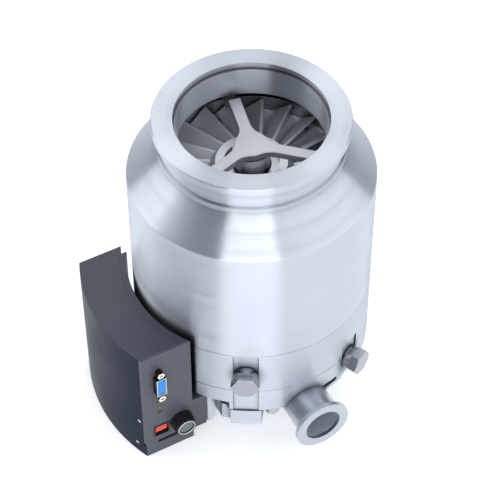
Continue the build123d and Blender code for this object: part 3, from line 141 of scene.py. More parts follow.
def turned_finish(
    name,
    base,
    roughness,
    mark_spacing,
    mark_depth,
    anisotropy,
    azimuth=None,
    height=0.0,
    line_contrast=0.03,
    painted_corner_shade=0.15,
):
    """Lathe-turned metal: rings round the lathe axis, which is vertical unless an
    azimuth and a height place a level one. Spacing and depth are in millimetres."""
    material, tree, shader = new_material(name, base, 1.0, roughness, Anisotropic=anisotropy)
    place, run = feed_run(tree, azimuth, height)
    mark = mark_spacing * millimetre

    # Marks of the tool, drawn coarser than real ones so that they show
    marks = add_node(
        tree,
        "ShaderNodeTexNoise",
        {"noise_dimensions": "1D"},
        {"Scale": 1.0 / mark, "Detail": 3.0, "Roughness": 0.65},
        {"W": run},
    )
    relief = add_node(
        tree,
        "ShaderNodeBump",
        values={"Strength": 1.0, "Distance": mark_depth * millimetre},
        links={"Height": marks.outputs[0]},
    )
    tree.links.new(relief.outputs["Normal"], shader.inputs["Normal"])

    # Some passes come out duller, and so do patches that were handled
    marks_in_pass = 12.5
    handled_patch = 45.45 * millimetre
    passes = add_node(
        tree,
        "ShaderNodeTexNoise",
        {"noise_dimensions": "1D"},
        {"Scale": 1.0 / (marks_in_pass * mark), "Detail": 2.0},
        {"W": run},
    )
    handling = add_node(
        tree,
        "ShaderNodeTexNoise",
        values={"Scale": 1.0 / handled_patch, "Detail": 4.0, "Roughness": 0.6},
        links={"Vector": place},
    )
    wear = add_node(
        tree,
        "ShaderNodeMath",
        {"operation": "MULTIPLY"},
        links={0: passes.outputs[0], 1: handling.outputs[0]},
    )
    spread = add_node(
        tree,
        "ShaderNodeMapRange",
        values={
            "From Min": 0.1,
            "From Max": 0.4,
            "To Min": roughness * 0.88,
            "To Max": roughness * 1.14,
        },
        links={"Value": wear.outputs[0]},
    )
    tree.links.new(spread.outputs["Result"], shader.inputs["Roughness"])

    # Painted shade: an ambient-occlusion node darkens the colour in tight inner corners, and the marks
    # are in two tones
    painted_shade_reach = 9.0 * millimetre
    corner = add_node(tree, "ShaderNodeAmbientOcclusion", {"samples": 8}, {"Distance": painted_shade_reach})
    painted_corner_tone = add_node(
        tree,
        "ShaderNodeMapRange",
        values={"From Min": 0.5, "From Max": 0.97, "To Min": painted_corner_shade, "To Max": 1.0},
        links={"Value": corner.outputs["AO"]},
    )
    lines = add_node(
        tree,
        "ShaderNodeMapRange",
        values={
            "From Min": 0.35,
            "From Max": 0.65,
            "To Min": 1 - line_contrast,
            "To Max": 1 + line_contrast,
        },
        links={"Value": marks.outputs[0]},
    )
    tone = add_node(
        tree,
        "ShaderNodeMath",
        {"operation": "MULTIPLY"},
        links={0: painted_corner_tone.outputs["Result"], 1: lines.outputs["Result"]},
    )
    shade = add_node(
        tree,
        "ShaderNodeMix",
        {"data_type": "RGBA", "blend_type": "MULTIPLY"},
        {"Factor": 1.0, "A": linear(base)},
        {"B": tone.outputs[0]},
    )
    tree.links.new(shade.outputs["Result"], shader.inputs["Base Color"])

    if azimuth is None and anisotropy > 0:
        # The marks run round the axis, so light spreads across them, up and down
        around = add_node(tree, "ShaderNodeTangent", {"direction_type": "RADIAL", "axis": "Z"})
        tree.links.new(around.outputs["Tangent"], shader.inputs["Tangent"])
        shader.inputs["Anisotropic Rotation"].default_value = 0.25
    return material


def smooth_copy(node, material, sharp=24.0, joined=False):
    """The solid's own shape with its round faces shaded smooth, in place of its node.
    Where asked, triangles that lie in one plane are joined to one face."""
    mesh = nodes[node].data.copy()
    shape = bmesh.new()
    shape.from_mesh(mesh)
    bmesh.ops.remove_doubles(shape, verts=shape.verts, dist=0.002 * millimetre)
    bmesh.ops.dissolve_degenerate(shape, edges=shape.edges, dist=0.001 * millimetre)
    if joined:
        bmesh.ops.dissolve_limit(shape, angle_limit=radians(0.2), verts=shape.verts, edges=shape.edges)
    shape.to_mesh(mesh)
    shape.free()
    if "custom_normal" in mesh.attributes:
        mesh.attributes.remove(mesh.attributes["custom_normal"])
    mesh.shade_smooth()
    mesh.set_sharp_from_angle(angle=radians(sharp))
    mesh.materials.clear()
    mesh.materials.append(material)
    piece = bpy.data.objects.new(node + "_finished", mesh)
    bpy.context.scene.collection.objects.link(piece)
    weigh = piece.modifiers.new("even_shading", "WEIGHTED_NORMAL")
    weigh.keep_sharp = True
    weigh.weight = 100
    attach(piece, nodes[node]["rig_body"])
    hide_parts(node)
    return piece


# Satin-turned aluminium: pale and slightly blue, with rings almost too fine to see
casing_metal = turned_finish("turned_satin_aluminium", "#c3c9d3", 0.37, 0.9, 0.005, 1.0)
smooth_copy("intake_housing", casing_metal)

# ------------------------------------------------------------ base casting
# The base is an aluminium casting, turned on the outside. The pockets for the plugs
# are milled flat, and six screws pull it up to the casing.

# Turned with a coarser feed: a little darker, with level lines that show
base_metal = turned_finish(
    "coarse_turned_aluminium", "#bdc3cd", 0.42, 1.3, 0.014, 0.9, line_contrast=0.07
)
smooth_copy("base_housing", base_metal)


# ------------------------------------------------------------ bearing spider
# Three arms milled from one aluminium plate. They are clamped at their feet and hold
# the magnet bearing above the rotor.
def even_finish(name, base, metallic, roughness, grain, depth, **sockets):
    """Even surface with a fine pitted relief. Grain and depth are in millimetres."""
    material, tree, shader = new_material(name, base, metallic, roughness, **sockets)
    place = add_node(tree, "ShaderNodeTexCoord").outputs["Object"]
    pits = add_node(
        tree,
        "ShaderNodeTexNoise",
        values={"Scale": 1.0 / (grain * millimetre), "Detail": 2.0, "Roughness": 0.7},
        links={"Vector": place},
    )
    relief = add_node(
        tree,
        "ShaderNodeBump",
        values={"Strength": 0.6, "Distance": depth * millimetre},
        links={"Height": pits.outputs[0]},
    )
    tree.links.new(relief.outputs["Normal"], shader.inputs["Normal"])
    cloud_size = 33.33 * millimetre
    clouds = add_node(
        tree,
        "ShaderNodeTexNoise",
        values={"Scale": 1.0 / cloud_size, "Detail": 3.0},
        links={"Vector": place},
    )
    spread = add_node(
        tree,
        "ShaderNodeMapRange",
        values={
            "From Min": 0.3,
            "From Max": 0.7,
            "To Min": roughness * 0.9,
            "To Max": roughness * 1.12,
        },
        links={"Value": clouds.outputs[0]},
    )
    tree.links.new(spread.outputs["Result"], shader.inputs["Roughness"])
    return material


def bevelled_copy(node, material, width):
    """As smooth_copy, with the solid's sharp edges broken by a small bevel."""
    piece = smooth_copy(node, material, joined=True)
    edge = piece.modifiers.new("broken_edges", "BEVEL")
    edge.width = width * millimetre
    edge.segments = 2
    edge.limit_method = "ANGLE"
    edge.angle_limit = radians(40)
    edge.harden_normals = False
    piece.modifiers.move(1, 0)
    return piece


# Bead-blasted aluminium: an even pale grey without a grain
spider_metal = even_finish("bead_blasted_aluminium", "#b3b3ba", 1.0, 0.5, 0.5, 0.03)
bevelled_copy("bearing_spider", spider_metal, 0.5)


# ------------------------------------------------------------ rotor and stator stack
# The rotor is milled from one billet of aluminium alloy, blades and all. Between its
# rows lie the stator discs, and turned spacer rings that carry them.
def paint_node(node, material):
    """Gives a solid that keeps its own mesh a better finish."""
    nodes[node].data.materials.clear()
    nodes[node].data.materials.append(material)


# Milled alloy, pale and dull, so that the blades stand out from their own shade
rotor_metal = even_finish("milled_rotor_alloy", "#dfe3e9", 0.75, 0.5, 1.2, 0.012)
# Turned alloy in the shade of the bore, a darker grey
stack_metal = turned_finish("turned_ring_alloy", "#a9adb6", 0.36, 0.6, 0.006, 0.4)
spacer_rings, stator_discs = 5, 4
smooth_copy("turbo_rotor", rotor_metal)
for ring in range(spacer_rings):
    smooth_copy(f"spacer_ring_{ring + 1}", stack_metal)
for disc in range(stator_discs):
    paint_node(f"stator_disc_{disc + 1}", rotor_metal)

# ------------------------------------------------------------ shaft and bearings
# A ground steel shaft turns in a ball bearing below and a magnet bearing above. The
# touchdown bearing in the magnets' carrier catches it only when it drops.

# Ground steel: bright, with marks too fine to see apart
ground_steel = turned_finish("ground_bearing_steel", "#c8c8ca", 0.16, 0.4, 0.002, 0.3)
# Nickel plate over sintered magnet: grey and bright
plated_magnet = even_finish("nickel_plated_magnet", "#9a9aa0", 1.0, 0.24, 0.8, 0.004)
# Cloth-filled phenolic resin: brown, with a waxy sheen
phenolic = even_finish("woven_phenolic_resin", "#7a4f24", 0.0, 0.5, 0.6, 0.02)
# Turned and plated steel: the brightest piece in the mouth
carrier_metal = turned_finish("bright_turned_carrier", "#e4e5e9", 0.30, 0.8, 0.004, 0.5)
for node in (
    "rotor_shaft",
    "oil_nut",
    "magnet_sleeve",
    "bearing_sleeve",
    "main_bearing_inner_ring",
    "main_bearing_outer_ring",
    "main_bearing_balls",
    "touchdown_inner_ring",
    "touchdown_outer_ring",
    "touchdown_balls",
):
    paint_node(node, ground_steel)
for node in ("stator_magnets", "rotor_magnets", "motor_magnet"):
    paint_node(node, plated_magnet)
for node in ("main_bearing_cage", "touchdown_cage"):
    paint_node(node, phenolic)
smooth_copy("magnet_carrier", carrier_metal)

# ------------------------------------------------------------ inner pieces
# The drag stage is a carbon-fibre sleeve that turns in an aluminium liner. It, the
# motor, the oil reservoir and the rubber rings are sealed inside the pump.

# Wound carbon fibre under clear resin: black with a gloss
carbon = even_finish("wound_carbon_fibre", "#16171a", 0.0, 0.35, 1.5, 0.03, Coat_Weight=0.4)
# Stacked steel sheet: dark and dull at its cut edges
lamination = even_finish("stacked_lamination_steel", "#4a4c52", 1.0, 0.5, 0.5, 0.02)
# Enamelled copper wire: reddish brown and shiny
enamelled_copper = even_finish("enamelled_copper_wire", "#9c4f23", 1.0, 0.32, 0.9, 0.06)
# Pressed wool felt: off-white and quite matt
felt = even_finish("pressed_wool_felt", "#cfc8b6", 0.0, 0.95, 0.8, 0.15)
# Fluoroelastomer: black rubber, smooth and matt
rubber = even_finish("black_fluoroelastomer", "#141416", 0.0, 0.6, 0.4, 0.01)
paint_node("holweck_sleeve", carbon)
paint_node("holweck_stator", stack_metal)
paint_node("motor_housing", base_metal)
paint_node("motor_core", lamination)
paint_node("motor_windings", enamelled_copper)
paint_node("lubricant_reservoir", felt)
for node in ("casing_seal", "cover_seal", "port_seal", "purge_gasket", "vent_gasket", "damping_rings"):
    paint_node(node, rubber)

# ------------------------------------------------------------ screws and bottom cover
# Socket-head screws pull the casing to the base and hold the drive's bracket. The
# cover under the main bearing is a turned aluminium disc with four screws.

# Plain steel: bright, without plating
screw_steel = even_finish("bright_screw_steel", "#b9babd", 1.0, 0.24, 0.6, 0.006)
smooth_copy("casing_screws", screw_steel)
for node in ("cover_screws", "bracket_screws"):
    paint_node(node, screw_steel)
smooth_copy("bottom_cover", casing_metal)

# ------------------------------------------------------------ screw plugs
# Plugs with six-sided heads close the purge and vent ports. Each is screwed down on
# a gasket.

# Satin nickel plate: darker than the aluminium round it, and it mirrors softly
plating = even_finish("bright_nickel_plate", "#a3a6ad", 1.0, 0.24, 1.0, 0.006)
smooth_copy("purge_plug", plating)
smooth_copy("vent_plug", plating)

# ------------------------------------------------------------ fore-vacuum port
# A small-flange tube, turned from aluminium bar and seated in the base with a seal.
# Its axis is level, so its tool marks run round a level axis too.
port_mount = next(mount for mount in frame["record"]["mounts"] if mount["name"] == "forevacuum_bore")
port_axis = Vector(port_mount["axis"])
port_centre = Vector(port_mount["pos_m"])
bore_clearance = 0.2 * millimetre
bore_reach = port_mount["dims"]["r_mm"] * millimetre + bore_clearance


def paint_faces(piece, material, wanted):
    """Gives the faces of a finished piece that meet a condition another finish."""
    piece.data.materials.append(material)
    for face in piece.data.polygons:
        if wanted(face):
            face.material_index = len(piece.data.materials) - 1


def in_port_bore(face):
    """Is a face part of the port's bore wall?"""
    away = Vector(face.center) - port_centre
    return (away - port_axis * away.dot(port_axis)).length < bore_reach


# Turned aluminium, a little darker and more matt than the casing
port_metal = turned_finish(
    "turned_port_aluminium",
    "#b9bec7",
    0.36,
    0.5,
    0.005,
    0.0,
    azimuth=degrees(atan2(port_axis.y, port_axis.x)),
    height=port_centre.z,
    # The painted corner shade is kept light on the port
    painted_corner_shade=0.6,
)
# Rough-bored aluminium inside: matt and grey
bore_metal = even_finish("matt_port_bore", "#8d939e", 0.1, 0.8, 0.5, 0.01)
port = smooth_copy("forevacuum_port", port_metal)
paint_faces(port, bore_metal, in_port_bore)

# ------------------------------------------------------------ drive bracket
# Milled aluminium plate, screwed to the base, that carries the drive. The motor's
# leads pass through it in a moulded plug.

# Milled aluminium: pale, with an even grain
bracket_metal = even_finish("milled_bracket_aluminium", "#cdd1d8", 1.0, 0.36, 0.9, 0.01)
# Glass-filled polyamide: black with a low sheen
moulded_black = even_finish("moulded_black_polyamide", "#121318", 0.0, 0.42, 0.5, 0.015)
smooth_copy("drive_bracket", bracket_metal)
paint_node("motor_feedthrough", moulded_black)

# ------------------------------------------------------------ electronic drive
# Die-cast housing and cover, curved to the pump, and a front panel of sheet. They are
# lacquered, and their edges are broken, so that they catch a thin line of light.
drive_turn = radians(209)
drive_out = Vector((cos(drive_turn), sin(drive_turn), 0))
drive_along = Vector((-sin(drive_turn), cos(drive_turn), 0))
up = Vector((0, 0, 1))


def span(node, direction):
    """Where a solid starts and ends along a direction, in millimetres."""
    places = [corner.co.dot(direction) / millimetre for corner in nodes[node].data.vertices]
    return min(places), max(places)


# Lacquer with a fine orange peel: dark grey-blue on the housing, deeper and duller on
# the cover's outer face, paler slate grey on the panel
housing_lacquer = even_finish("dark_grey_blue_lacquer", "#343846", 0.0, 0.42, 0.9, 0.012)
cover_lacquer = even_finish(
    "dark_grey_blue_cover_lacquer", "#131d33", 0.0, 0.36, 0.9, 0.012, Specular_IOR_Level=0.05
)
panel_lacquer = even_finish(
    "slate_grey_panel_lacquer", "#454852", 0.0, 0.45, 0.7, 0.010, Specular_IOR_Level=0.4
)
# Solder mask: green and smooth
solder_mask = even_finish("green_solder_mask", "#1e5a38", 0.0, 0.35, 0.8, 0.01)
bevelled_copy("drive_housing", housing_lacquer, 0.5)
cover = bevelled_copy("drive_cover", cover_lacquer, 0.5)
bevelled_copy("connector_panel", panel_lacquer, 0.6)
paint_node("circuit_board", solder_mask)

# The top is lacquered with the housing, and the panel's tone goes on below its slot,
# across the front of the cover's lip
panel_front = span("connector_panel", drive_along)[1]
panel_foot = span("connector_panel", up)[0]
paint_faces(cover, housing_lacquer, lambda face: face.normal.z > 0.9)
paint_faces(
    cover,
    panel_lacquer,
    lambda face: face.normal.dot(drive_along) > 0.9 and face.center.z < panel_foot * millimetre,
)


# ------------------------------------------------------------ cover screws
# Two steel screws hold the cover. They sit in round recesses low on its outer face, near the panel, and
# the shade in each recess is painted as an almost black disc.
def rod(out, height, proud, radius, thick, sides=48):
    """Bar with a round or many-sided front face that is that far proud."""
    shape = bmesh.new()
    place = Matrix.Translation((out, height, proud - thick / 2))
    bmesh.ops.create_cone(
        shape, cap_ends=True, segments=sides, radius1=radius, radius2=radius, depth=thick, matrix=place
    )
    return shape


def seat(name, shape, place, material, node):
    """Makes a piece of a shape that is drawn in millimetres, outward, up and proud,
    and sets it in a place. The piece moves and is listed with a solid."""
    bmesh.ops.transform(shape, matrix=Matrix.Scale(millimetre, 4) @ place, verts=shape.verts)
    bmesh.ops.recalc_face_normals(shape, faces=shape.faces)
    mesh = bpy.data.meshes.new(name)
    shape.to_mesh(mesh)
    shape.free()
    mesh.materials.append(material)
    piece = bpy.data.objects.new(name, mesh)
    bpy.context.scene.collection.objects.link(piece)
    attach(piece, nodes[node]["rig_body"])


# Painted shade: an almost black disc under each screw head stands in for the shade at the bottom of its
# recess
recess_shade_paint = even_finish(
    "painted_recess_shade", "#0b0e16", 0.0, 0.6, 0.5, 0.01, Specular_IOR_Level=0.1
)
cover_reach = max(corner.co.xy.length for corner in nodes["drive_cover"].data.vertices) / millimetre
cover_foot = span("drive_cover", up)[0]
recess_floor = cover_reach - 0.25
recess_radius, recess_thick = 2.6, 0.2
head_radius, head_thick = 1.5, 0.32
# Each screw's place, round the face from the drive's middle and up from its foot
upper_screw = (43.0, 37.0)
lower_screw = (39.7, 9.5)
for number, (side, height) in enumerate((upper_screw, lower_screw), start=1):
    azimuth = drive_turn + side / cover_reach
    outward = Vector((cos(azimuth), sin(azimuth), 0))
    along = Vector((-sin(azimuth), cos(azimuth), 0))
    spot = Matrix.Translation(outward * recess_floor + up * (cover_foot + height))
    place = spot @ Matrix((along, up, outward)).transposed().to_4x4()
    recess = rod(0, 0, recess_thick, recess_radius, recess_thick, sides=32)
    head = rod(0, 0, head_thick, head_radius, head_thick, sides=6)
    seat(f"cover_screw_recess_shade_{number}", recess, place, recess_shade_paint, "drive_cover")
    seat(f"cover_screw_head_{number}", head, place, screw_steel, "drive_cover")

# ------------------------------------------------------------ slot web
# The panel stops above the cover's lip, which leaves a slot. A small web on the panel
# closes the slot at its outer end.
panel_place = Matrix((drive_out, up, drive_along)).transposed().to_4x4()


def block(out, height, proud, width, tall, thick, broken=0.0):
    """Block centred on a place, with its face that far proud and its edges broken."""
    shape = bmesh.new()
    place = Matrix.Translation((out, height, proud - thick / 2))
    size = Matrix.Diagonal((width, tall, thick, 1))
    made = bmesh.ops.create_cube(shape, size=1.0, matrix=place @ size)
    if broken:
        edges = {edge for corner in made["verts"] for edge in corner.link_edges}
        bmesh.ops.bevel(shape, geom=list(edges), offset=broken, segments=2, affect="EDGES", profile=0.5)
    return shape


cover_edge = (cover_reach**2 - panel_front**2) ** 0.5
slot_tall = 3.0
web_length, web_thick = 9.0, 2.0
web_overlap = 0.3
web = block(
    out=cover_edge - 0.1 - web_length / 2,
    height=panel_foot - slot_tall / 2,
    proud=panel_front - 0.05,
    width=web_length,
    tall=slot_tall + 2 * web_overlap,
    thick=web_thick,
)
seat("panel_slot_web", web, panel_place, panel_lacquer, "connector_panel")

# ------------------------------------------------------------ data connector
# Sub-D socket, held in the panel by its two jack screws. Its steel shell holds a moulded insulator with
# fifteen contacts in three columns, each a dark blue disc of painted shade in place of its hole. The
# shell is painted shaded brown, all but its open end.

# Tinned steel at the open end, bright and a little warm
tinned_steel = even_finish("tinned_steel_shell", "#c5c6c2", 1.0, 0.28, 0.6, 0.005)
# Painted shade: a dark brown copy of the same steel, for the shell where the panel shades it
shaded_steel_paint = even_finish("painted_shade_steel_shell", "#3c3836", 1.0, 0.45, 0.6, 0.005)
# Moulded plastic: a strong blue with a low sheen
blue_plastic = even_finish("moulded_blue_plastic", "#0d8ef2", 0.0, 0.4, 0.5, 0.01)
# Painted shade: dark blue discs stand in for the shade inside the contact holes
pit_shade_paint = even_finish("painted_contact_pit_shade", "#0b1c40", 0.0, 0.6, 0.5, 0.01)
# The shell takes the painted shade, all but its open end, which keeps the tinned colour
shell = smooth_copy("data_connector", shaded_steel_paint)
shell_face = span("data_connector", drive_along)[1]
shell_out = sum(span("data_connector", drive_out)) / 2
shell_height = sum(span("data_connector", up)) / 2
unshaded_end = 1.3
paint_faces(
    shell,
    tinned_steel,
    lambda face: face.center.dot(drive_along) > (shell_face - unshaded_end) * millimetre,
)

insulator_tall, insulator_wide, insulator_cut = 14.9, 5.3, 1.2
insulator_thick = 0.9
insulator_face = shell_face - 0.2
outline = (
    (-insulator_wide / 2, -insulator_tall / 2 + insulator_cut),
    (insulator_wide / 2, -insulator_tall / 2),
    (insulator_wide / 2, insulator_tall / 2),
    (-insulator_wide / 2, insulator_tall / 2 - insulator_cut),
)
insulator = bmesh.new()
front = insulator.faces.new(
    [insulator.verts.new((shell_out + x, shell_height + y, insulator_face)) for x, y in outline]
)
pushed = bmesh.ops.extrude_face_region(insulator, geom=[front])["geom"]
bmesh.ops.translate(
    insulator,
    verts=[item for item in pushed if isinstance(item, bmesh.types.BMVert)],
    vec=(0, 0, -insulator_thick),
)
seat("data_insulator", insulator, panel_place, blue_plastic, "data_connector")


def pattern_group(name, sizes, lay_points):
    """Geometry nodes that put copies of a mesh on the points of a layout, and move
    them all to a centre. The layout's own sizes are further inputs."""
    group = bpy.data.node_groups.new(name, "GeometryNodeTree")
    inputs = {
        "Geometry": "NodeSocketGeometry",
        **sizes,
        "Centre": "NodeSocketVector",
        "Material": "NodeSocketMaterial",
    }
    for label, kind in inputs.items():
        group.interface.new_socket(label, in_out="INPUT", socket_type=kind)
    group.interface.new_socket("Geometry", in_out="OUTPUT", socket_type="NodeSocketGeometry")
    given = add_node(group, "NodeGroupInput").outputs
    copies = add_node(
        group,
        "GeometryNodeInstanceOnPoints",
        links={"Instance": given["Geometry"], **lay_points(group, given)},
    )
    moved = add_node(
        group,
        "GeometryNodeTransform",
        links={"Geometry": copies.outputs["Instances"], "Translation": given["Centre"]},
    )
    solid = add_node(
        group, "GeometryNodeRealizeInstances", links={"Geometry": moved.outputs["Geometry"]}
    )
    coated = add_node(
        group,
        "GeometryNodeSetMaterial",
        links={"Geometry": solid.outputs["Geometry"], "Material": given["Material"]},
    )
    add_node(group, "NodeGroupOutput", links={"Geometry": coated.outputs["Geometry"]})
    return group


def level_grid(group, given):
    """Points in columns and rows."""
    grid = add_node(
        group,
        "GeometryNodeMeshGrid",
        links={
            "Size X": given["Width"],
            "Size Y": given["Height"],
            "Vertices X": given["Columns"],
            "Vertices Y": given["Rows"],
        },
    )
    return {"Points": grid.outputs["Mesh"]}


def repeated(shape, group, material, values):
    """The shape that a pattern makes of a small one."""
    holder = bpy.data.objects.new("pattern", bpy.data.meshes.new("single"))
    shape.to_mesh(holder.data)
    shape.free()
    bpy.context.scene.collection.objects.link(holder)
    pattern = holder.modifiers.new("pattern", "NODES")
    pattern.node_group = group
    sockets = [item for item in group.interface.items_tree if item.in_out == "INPUT"]
    identifier = {socket.name: socket.identifier for socket in sockets}
    for label, value in {**values, "Material": material}.items():
        pattern[identifier[label]] = value
    bpy.context.view_layer.update()
    seen = holder.evaluated_get(bpy.context.evaluated_depsgraph_get())
    made = bmesh.new()
    made.from_mesh(bpy.data.meshes.new_from_object(seen))
    bpy.data.objects.remove(holder)
    return made


grid_group = pattern_group(
    "grid_of_copies",
    {
        "Columns": "NodeSocketInt",
        "Rows": "NodeSocketInt",
        "Width": "NodeSocketFloat",
        "Height": "NodeSocketFloat",
    },
    level_grid,
)
contact_radius, contact_thick = 0.5, 0.3
contact_columns, contact_rows = 3, 5
column_pitch, row_pitch = 1.6, 2.6
contacts = repeated(
    rod(0, 0, 0.05, contact_radius, contact_thick, sides=16),
    grid_group,
    pit_shade_paint,
    {
        "Columns": contact_columns,
        "Rows": contact_rows,
        "Width": column_pitch * (contact_columns - 1),
        "Height": row_pitch * (contact_rows - 1),
        "Centre": (shell_out, shell_height, insulator_face),
    },
)
seat("data_contacts", contacts, panel_place, pit_shade_paint, "data_connector")

# ------------------------------------------------------------ jack screws
# Six-sided screws above and below the socket, which take the plug's own screws. The
# disc sunk in each one is the shade in its threaded bore.

# Zinc plate with a cream passivation: pale, warm and dull
cream = even_finish("cream_zinc_plate", "#f4efe6", 0.25, 0.38, 0.6, 0.004)
# The same plate in shade
shaded_zinc = even_finish("shaded_zinc_plate", "#b9b2a8", 0.25, 0.5, 0.6, 0.004)
# The jack screws' sides take the same painted shade, and their front faces take the cream plate
jacks = smooth_copy("jack_screws", shaded_steel_paint)
paint_faces(jacks, cream, lambda face: face.normal.dot(drive_along) > 0.9)
jack_front = span("jack_screws", drive_along)[1]
jack_foot, jack_head = span("jack_screws", up)
jack_half_tall = 2.77
jack_bore_radius, jack_bore_disc = 1.3, 1.0
jack_bores = repeated(
    rod(0, 0, 0, jack_bore_radius, jack_bore_disc, sides=24),
    grid_group,
    shaded_zinc,
    {
        "Columns": 1,
        "Rows": 2,
        "Width": 0.0,
        "Height": jack_head - jack_foot - 2 * jack_half_tall,
        "Centre": (shell_out, (jack_foot + jack_head) / 2, jack_front - 0.4),
    },
)
seat("jack_bores", jack_bores, panel_place, shaded_zinc, "jack_screws")

# ------------------------------------------------------------ service socket
# Square data socket in black plastic, fixed in the panel. A cap that keeps the dust
# out is pushed into it.

# Moulded plastic: orange-red with a sheen
red_plastic = even_finish("moulded_red_plastic", "#e0401c", 0.0, 0.32, 0.5, 0.01)
smooth_copy("usb_socket", moulded_black)
cap_width, cap_tall, cap_thick, cap_round = 9.2, 6.6, 6.0, 0.9
service_cap = block(
    out=sum(span("usb_socket", drive_out)) / 2,
    height=sum(span("usb_socket", up)) / 2 + 0.9,
    proud=panel_front - 0.3,
    width=cap_width,
    tall=cap_tall,
    thick=cap_thick,
    broken=cap_round,
)
seat("service_cap", service_cap, panel_place, red_plastic, "usb_socket")

# ------------------------------------------------------------ power connector
# Round connector in black plastic, with a gripped collar. A plated lip runs round its
# open end, and a ribbed dust cap sits inside the lip.

# Grey dust cap, matt, and its ribs a little paler where the light meets them
grey_cap = even_finish("grey_ribbed_cap", "#59616a", 0.0, 0.5, 0.5, 0.01)
pale_ribs = even_finish("pale_ribs", "#77818a", 0.0, 0.5, 0.5, 0.01)
smooth_copy("power_connector", moulded_black)
power_out = sum(span("power_connector", drive_out)) / 2
power_height = sum(span("power_connector", up)) / 2
power_face = span("power_connector", drive_along)[1]


def half_round_ring(radius, half_width, rise, foot, lift, steps=8, turns=64):
    """Ring round the power connector, half round in section, on a short foot."""
    section = [
        (radius - half_width * cos(pi * step / steps), rise * sin(pi * step / steps))
        for step in range(steps + 1)
    ]
    section += [(radius + half_width, -foot), (radius - half_width, -foot)]
    shape = bmesh.new()
    rows = []
    for turn in range(turns):
        angle = 2 * pi * turn / turns
        rows.append(
            [
                shape.verts.new(
                    (power_out + r * cos(angle), power_height + r * sin(angle), power_face + z + lift)
                )
                for r, z in section
            ]
        )
    for turn, row in enumerate(rows):
        following = rows[(turn + 1) % turns]
        for here in range(len(section)):
            after = (here + 1) % len(section)
            shape.faces.new((row[here], row[after], following[after], following[here]))
    for face in shape.faces:
        face.smooth = True
    return shape


def outward_ring(group, given):
    """Points round a circle, where each copy is turned outward."""
    circle = add_node(
        group, "GeometryNodeMeshCircle", links={"Vertices": given["Count"], "Radius": given["Radius"]}
    )
    place = add_node(group, "GeometryNodeInputPosition").outputs["Position"]
    turn = add_node(
        group, "FunctionNodeAlignRotationToVector", {"axis": "X"}, links={"Vector": place}
    )
    return {"Points": circle.outputs["Mesh"], "Rotation": turn.outputs["Rotation"]}


lip = half_round_ring(radius=6.25, half_width=0.42, rise=0.34, foot=0.3, lift=0.02)
seat("power_lip", lip, panel_place, tinned_steel, "power_connector")

cap_radius, cap_depth, cap_sunk = 5.75, 1.2, 0.9
cap_face = power_face - cap_sunk
cap = rod(power_out, power_height, cap_face, cap_radius, cap_depth)
seat("power_cap", cap, panel_place, grey_cap, "power_connector")

rib_count, rib_pitch = 9, 0.9
rib_wide, rib_long, rib_thick = 0.34, 6.6, 0.5
ribs = repeated(
    block(0, 0, rib_thick / 2, rib_wide, rib_long, rib_thick),
    grid_group,
    pale_ribs,
    {
        "Columns": rib_count,
        "Rows": 1,
        "Width": rib_pitch * (rib_count - 1),
        "Height": 0.0,
        "Centre": (power_out, power_height, cap_face),
    },
)
seat("power_cap_ribs", ribs, panel_place, pale_ribs, "power_connector")

ring_group = pattern_group(
    "ring_of_copies", {"Count": "NodeSocketInt", "Radius": "NodeSocketFloat"}, outward_ring
)
grip_count, grip_radius = 20, 7.6
grip_deep, grip_wide, grip_long, grip_round = 0.8, 1.0, 4.6, 0.2
grips = repeated(
    block(0, 0, 0, grip_deep, grip_wide, grip_long, grip_round),
    ring_group,
    moulded_black,
    {
        "Count": grip_count,
        "Radius": grip_radius,
        "Centre": (power_out, power_height, power_face - 1.0),
    },
)
seat("power_grips", grips, panel_place, moulded_black, "power_connector")

# ------------------------------------------------------------ status lamps
# Three small lenses in a column under the data connector: green above, amber in the
# middle and red below. None is lit.

# Tinted clear plastic: deep in colour, with a gloss
lens_green = even_finish("green_lens", "#12591f", 0.0, 0.25, 0.5, 0.005)
lens_amber = even_finish("amber_lens", "#5d5b1c", 0.0, 0.25, 0.5, 0.005)
lens_red = even_finish("dark_red_lens", "#2e0d10", 0.0, 0.25, 0.5, 0.005)
lenses = smooth_copy("status_lamps", lens_green)
lamp_foot, lamp_head = (height * millimetre for height in span("status_lamps", up))
third = (lamp_head - lamp_foot) / 3
paint_faces(lenses, lens_amber, lambda face: lamp_foot + third < face.center.z < lamp_head - third)
paint_faces(lenses, lens_red, lambda face: face.center.z < lamp_foot + third)

# ------------------------------------------------------------ studio
# Pale floor just under the drive's lowest edge, and four soft screens: in front, at
# both sides and above the back. The front one is the bright band down the casing.
floor_level = cad_box[0][2] - 0.5 * millimetre
floor_reach = 3.0
floor_glow = 0.30
floor_material, floor_tree, floor_shader = new_material("pale_studio_floor", "#f4f5f7", 0.0, 0.9)
floor_mesh = bpy.data.meshes.new("studio_floor")
floor_mesh.from_pydata(
    [(x * floor_reach, y * floor_reach, floor_level) for x, y in ((-1, -1), (1, -1), (1, 1), (-1, 1))],
    [],
    [(0, 1, 2, 3)],
)
floor_mesh.materials.append(floor_material)
floor = bpy.data.objects.new("studio_floor", floor_mesh)
bpy.context.scene.collection.objects.link(floor)

# It glows for the camera and for what mirrors it, and gives no light to the pump
light_path = add_node(floor_tree, "ShaderNodeLightPath")
seen_floor = add_node(
    floor_tree,
    "ShaderNodeMath",
    {"operation": "MAXIMUM"},
    links={0: light_path.outputs["Is Camera Ray"], 1: light_path.outputs["Is Glossy Ray"]},
)
glow = add_node(
    floor_tree, "ShaderNodeMath", {"operation": "MULTIPLY"}, {1: floor_glow}, {0: seen_floor.outputs[0]}
)
floor_tree.links.new(glow.outputs[0], floor_shader.inputs["Emission Strength"])
floor_shader.inputs["Emission Color"].default_value = (1, 1, 1, 1)

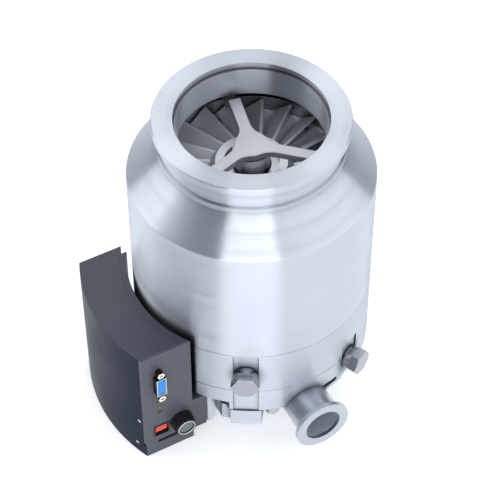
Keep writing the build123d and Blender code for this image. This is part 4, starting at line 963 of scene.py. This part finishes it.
# The room is evenly dim, and a little brighter overhead
world = bpy.data.worlds.new("studio_room")
bpy.context.scene.world = world
world.use_nodes = True
room = world.node_tree
direction = add_node(room, "ShaderNodeTexCoord").outputs["Generated"]
upward = add_node(room, "ShaderNodeSeparateXYZ", links={"Vector": direction})
brightening = add_node(
    room,
    "ShaderNodeMapRange",
    {"interpolation_type": "SMOOTHSTEP"},
    {"From Min": -0.2, "From Max": 1.0, "To Min": 0.12, "To Max": 0.5},
    {"Value": upward.outputs["Z"]},
)
room_light = room.nodes["Background"]
room_light.inputs["Color"].default_value = linear("#eef2f9")
room.links.new(brightening.outputs["Result"], room_light.inputs["Strength"])


def soft_light(name, place, aim, width, tall, radiance):
    """A rectangular soft light that faces a point, as bright as its radiance says."""
    lamp = bpy.data.lights.new(name, "AREA")
    lamp.shape = "RECTANGLE"
    lamp.size = width
    lamp.size_y = tall
    lamp.energy = radiance * pi * width * tall
    holder = bpy.data.objects.new(name, lamp)
    holder.location = place
    holder.rotation_euler = (Vector(aim) - Vector(place)).to_track_quat("-Z", "Y").to_euler()
    holder.visible_camera = False
    bpy.context.scene.collection.objects.link(holder)


soft_light("front_screen", (-0.05, -1.6, 0.95), (-0.05, 0, 0.95), 1.35, 2.5, 2.5)
soft_light("right_screen", (1.42, -0.62, 0.9), (0, 0, 0.3), 3.5, 2.2, 1.3)
soft_light("left_screen", (-1.5, 0.25, 0.9), (0, 0, 0.3), 1.2, 2.2, 1.5)
soft_light("back_softbox", (0.0, 1.1, 1.25), (0, 0, 0), 1.8, 1.3, 1.5)

# ------------------------------------------------------------ camera
# Long lens from the front, looking down at almost fifty degrees.
looking_down = 48.54
camera_data = bpy.data.cameras.new("studio_camera")
camera_data.lens = 134.3
camera_data.sensor_width = 36.0
camera_data.shift_x = -0.0032
camera = bpy.data.objects.new("studio_camera", camera_data)
camera.location = (0.0, -0.855, 0.839)
camera.rotation_euler = (radians(90 - looking_down), 0, 0)
bpy.context.scene.collection.objects.link(camera)
bpy.context.scene.camera = camera
bpy.context.scene.view_settings.view_transform = "Standard"
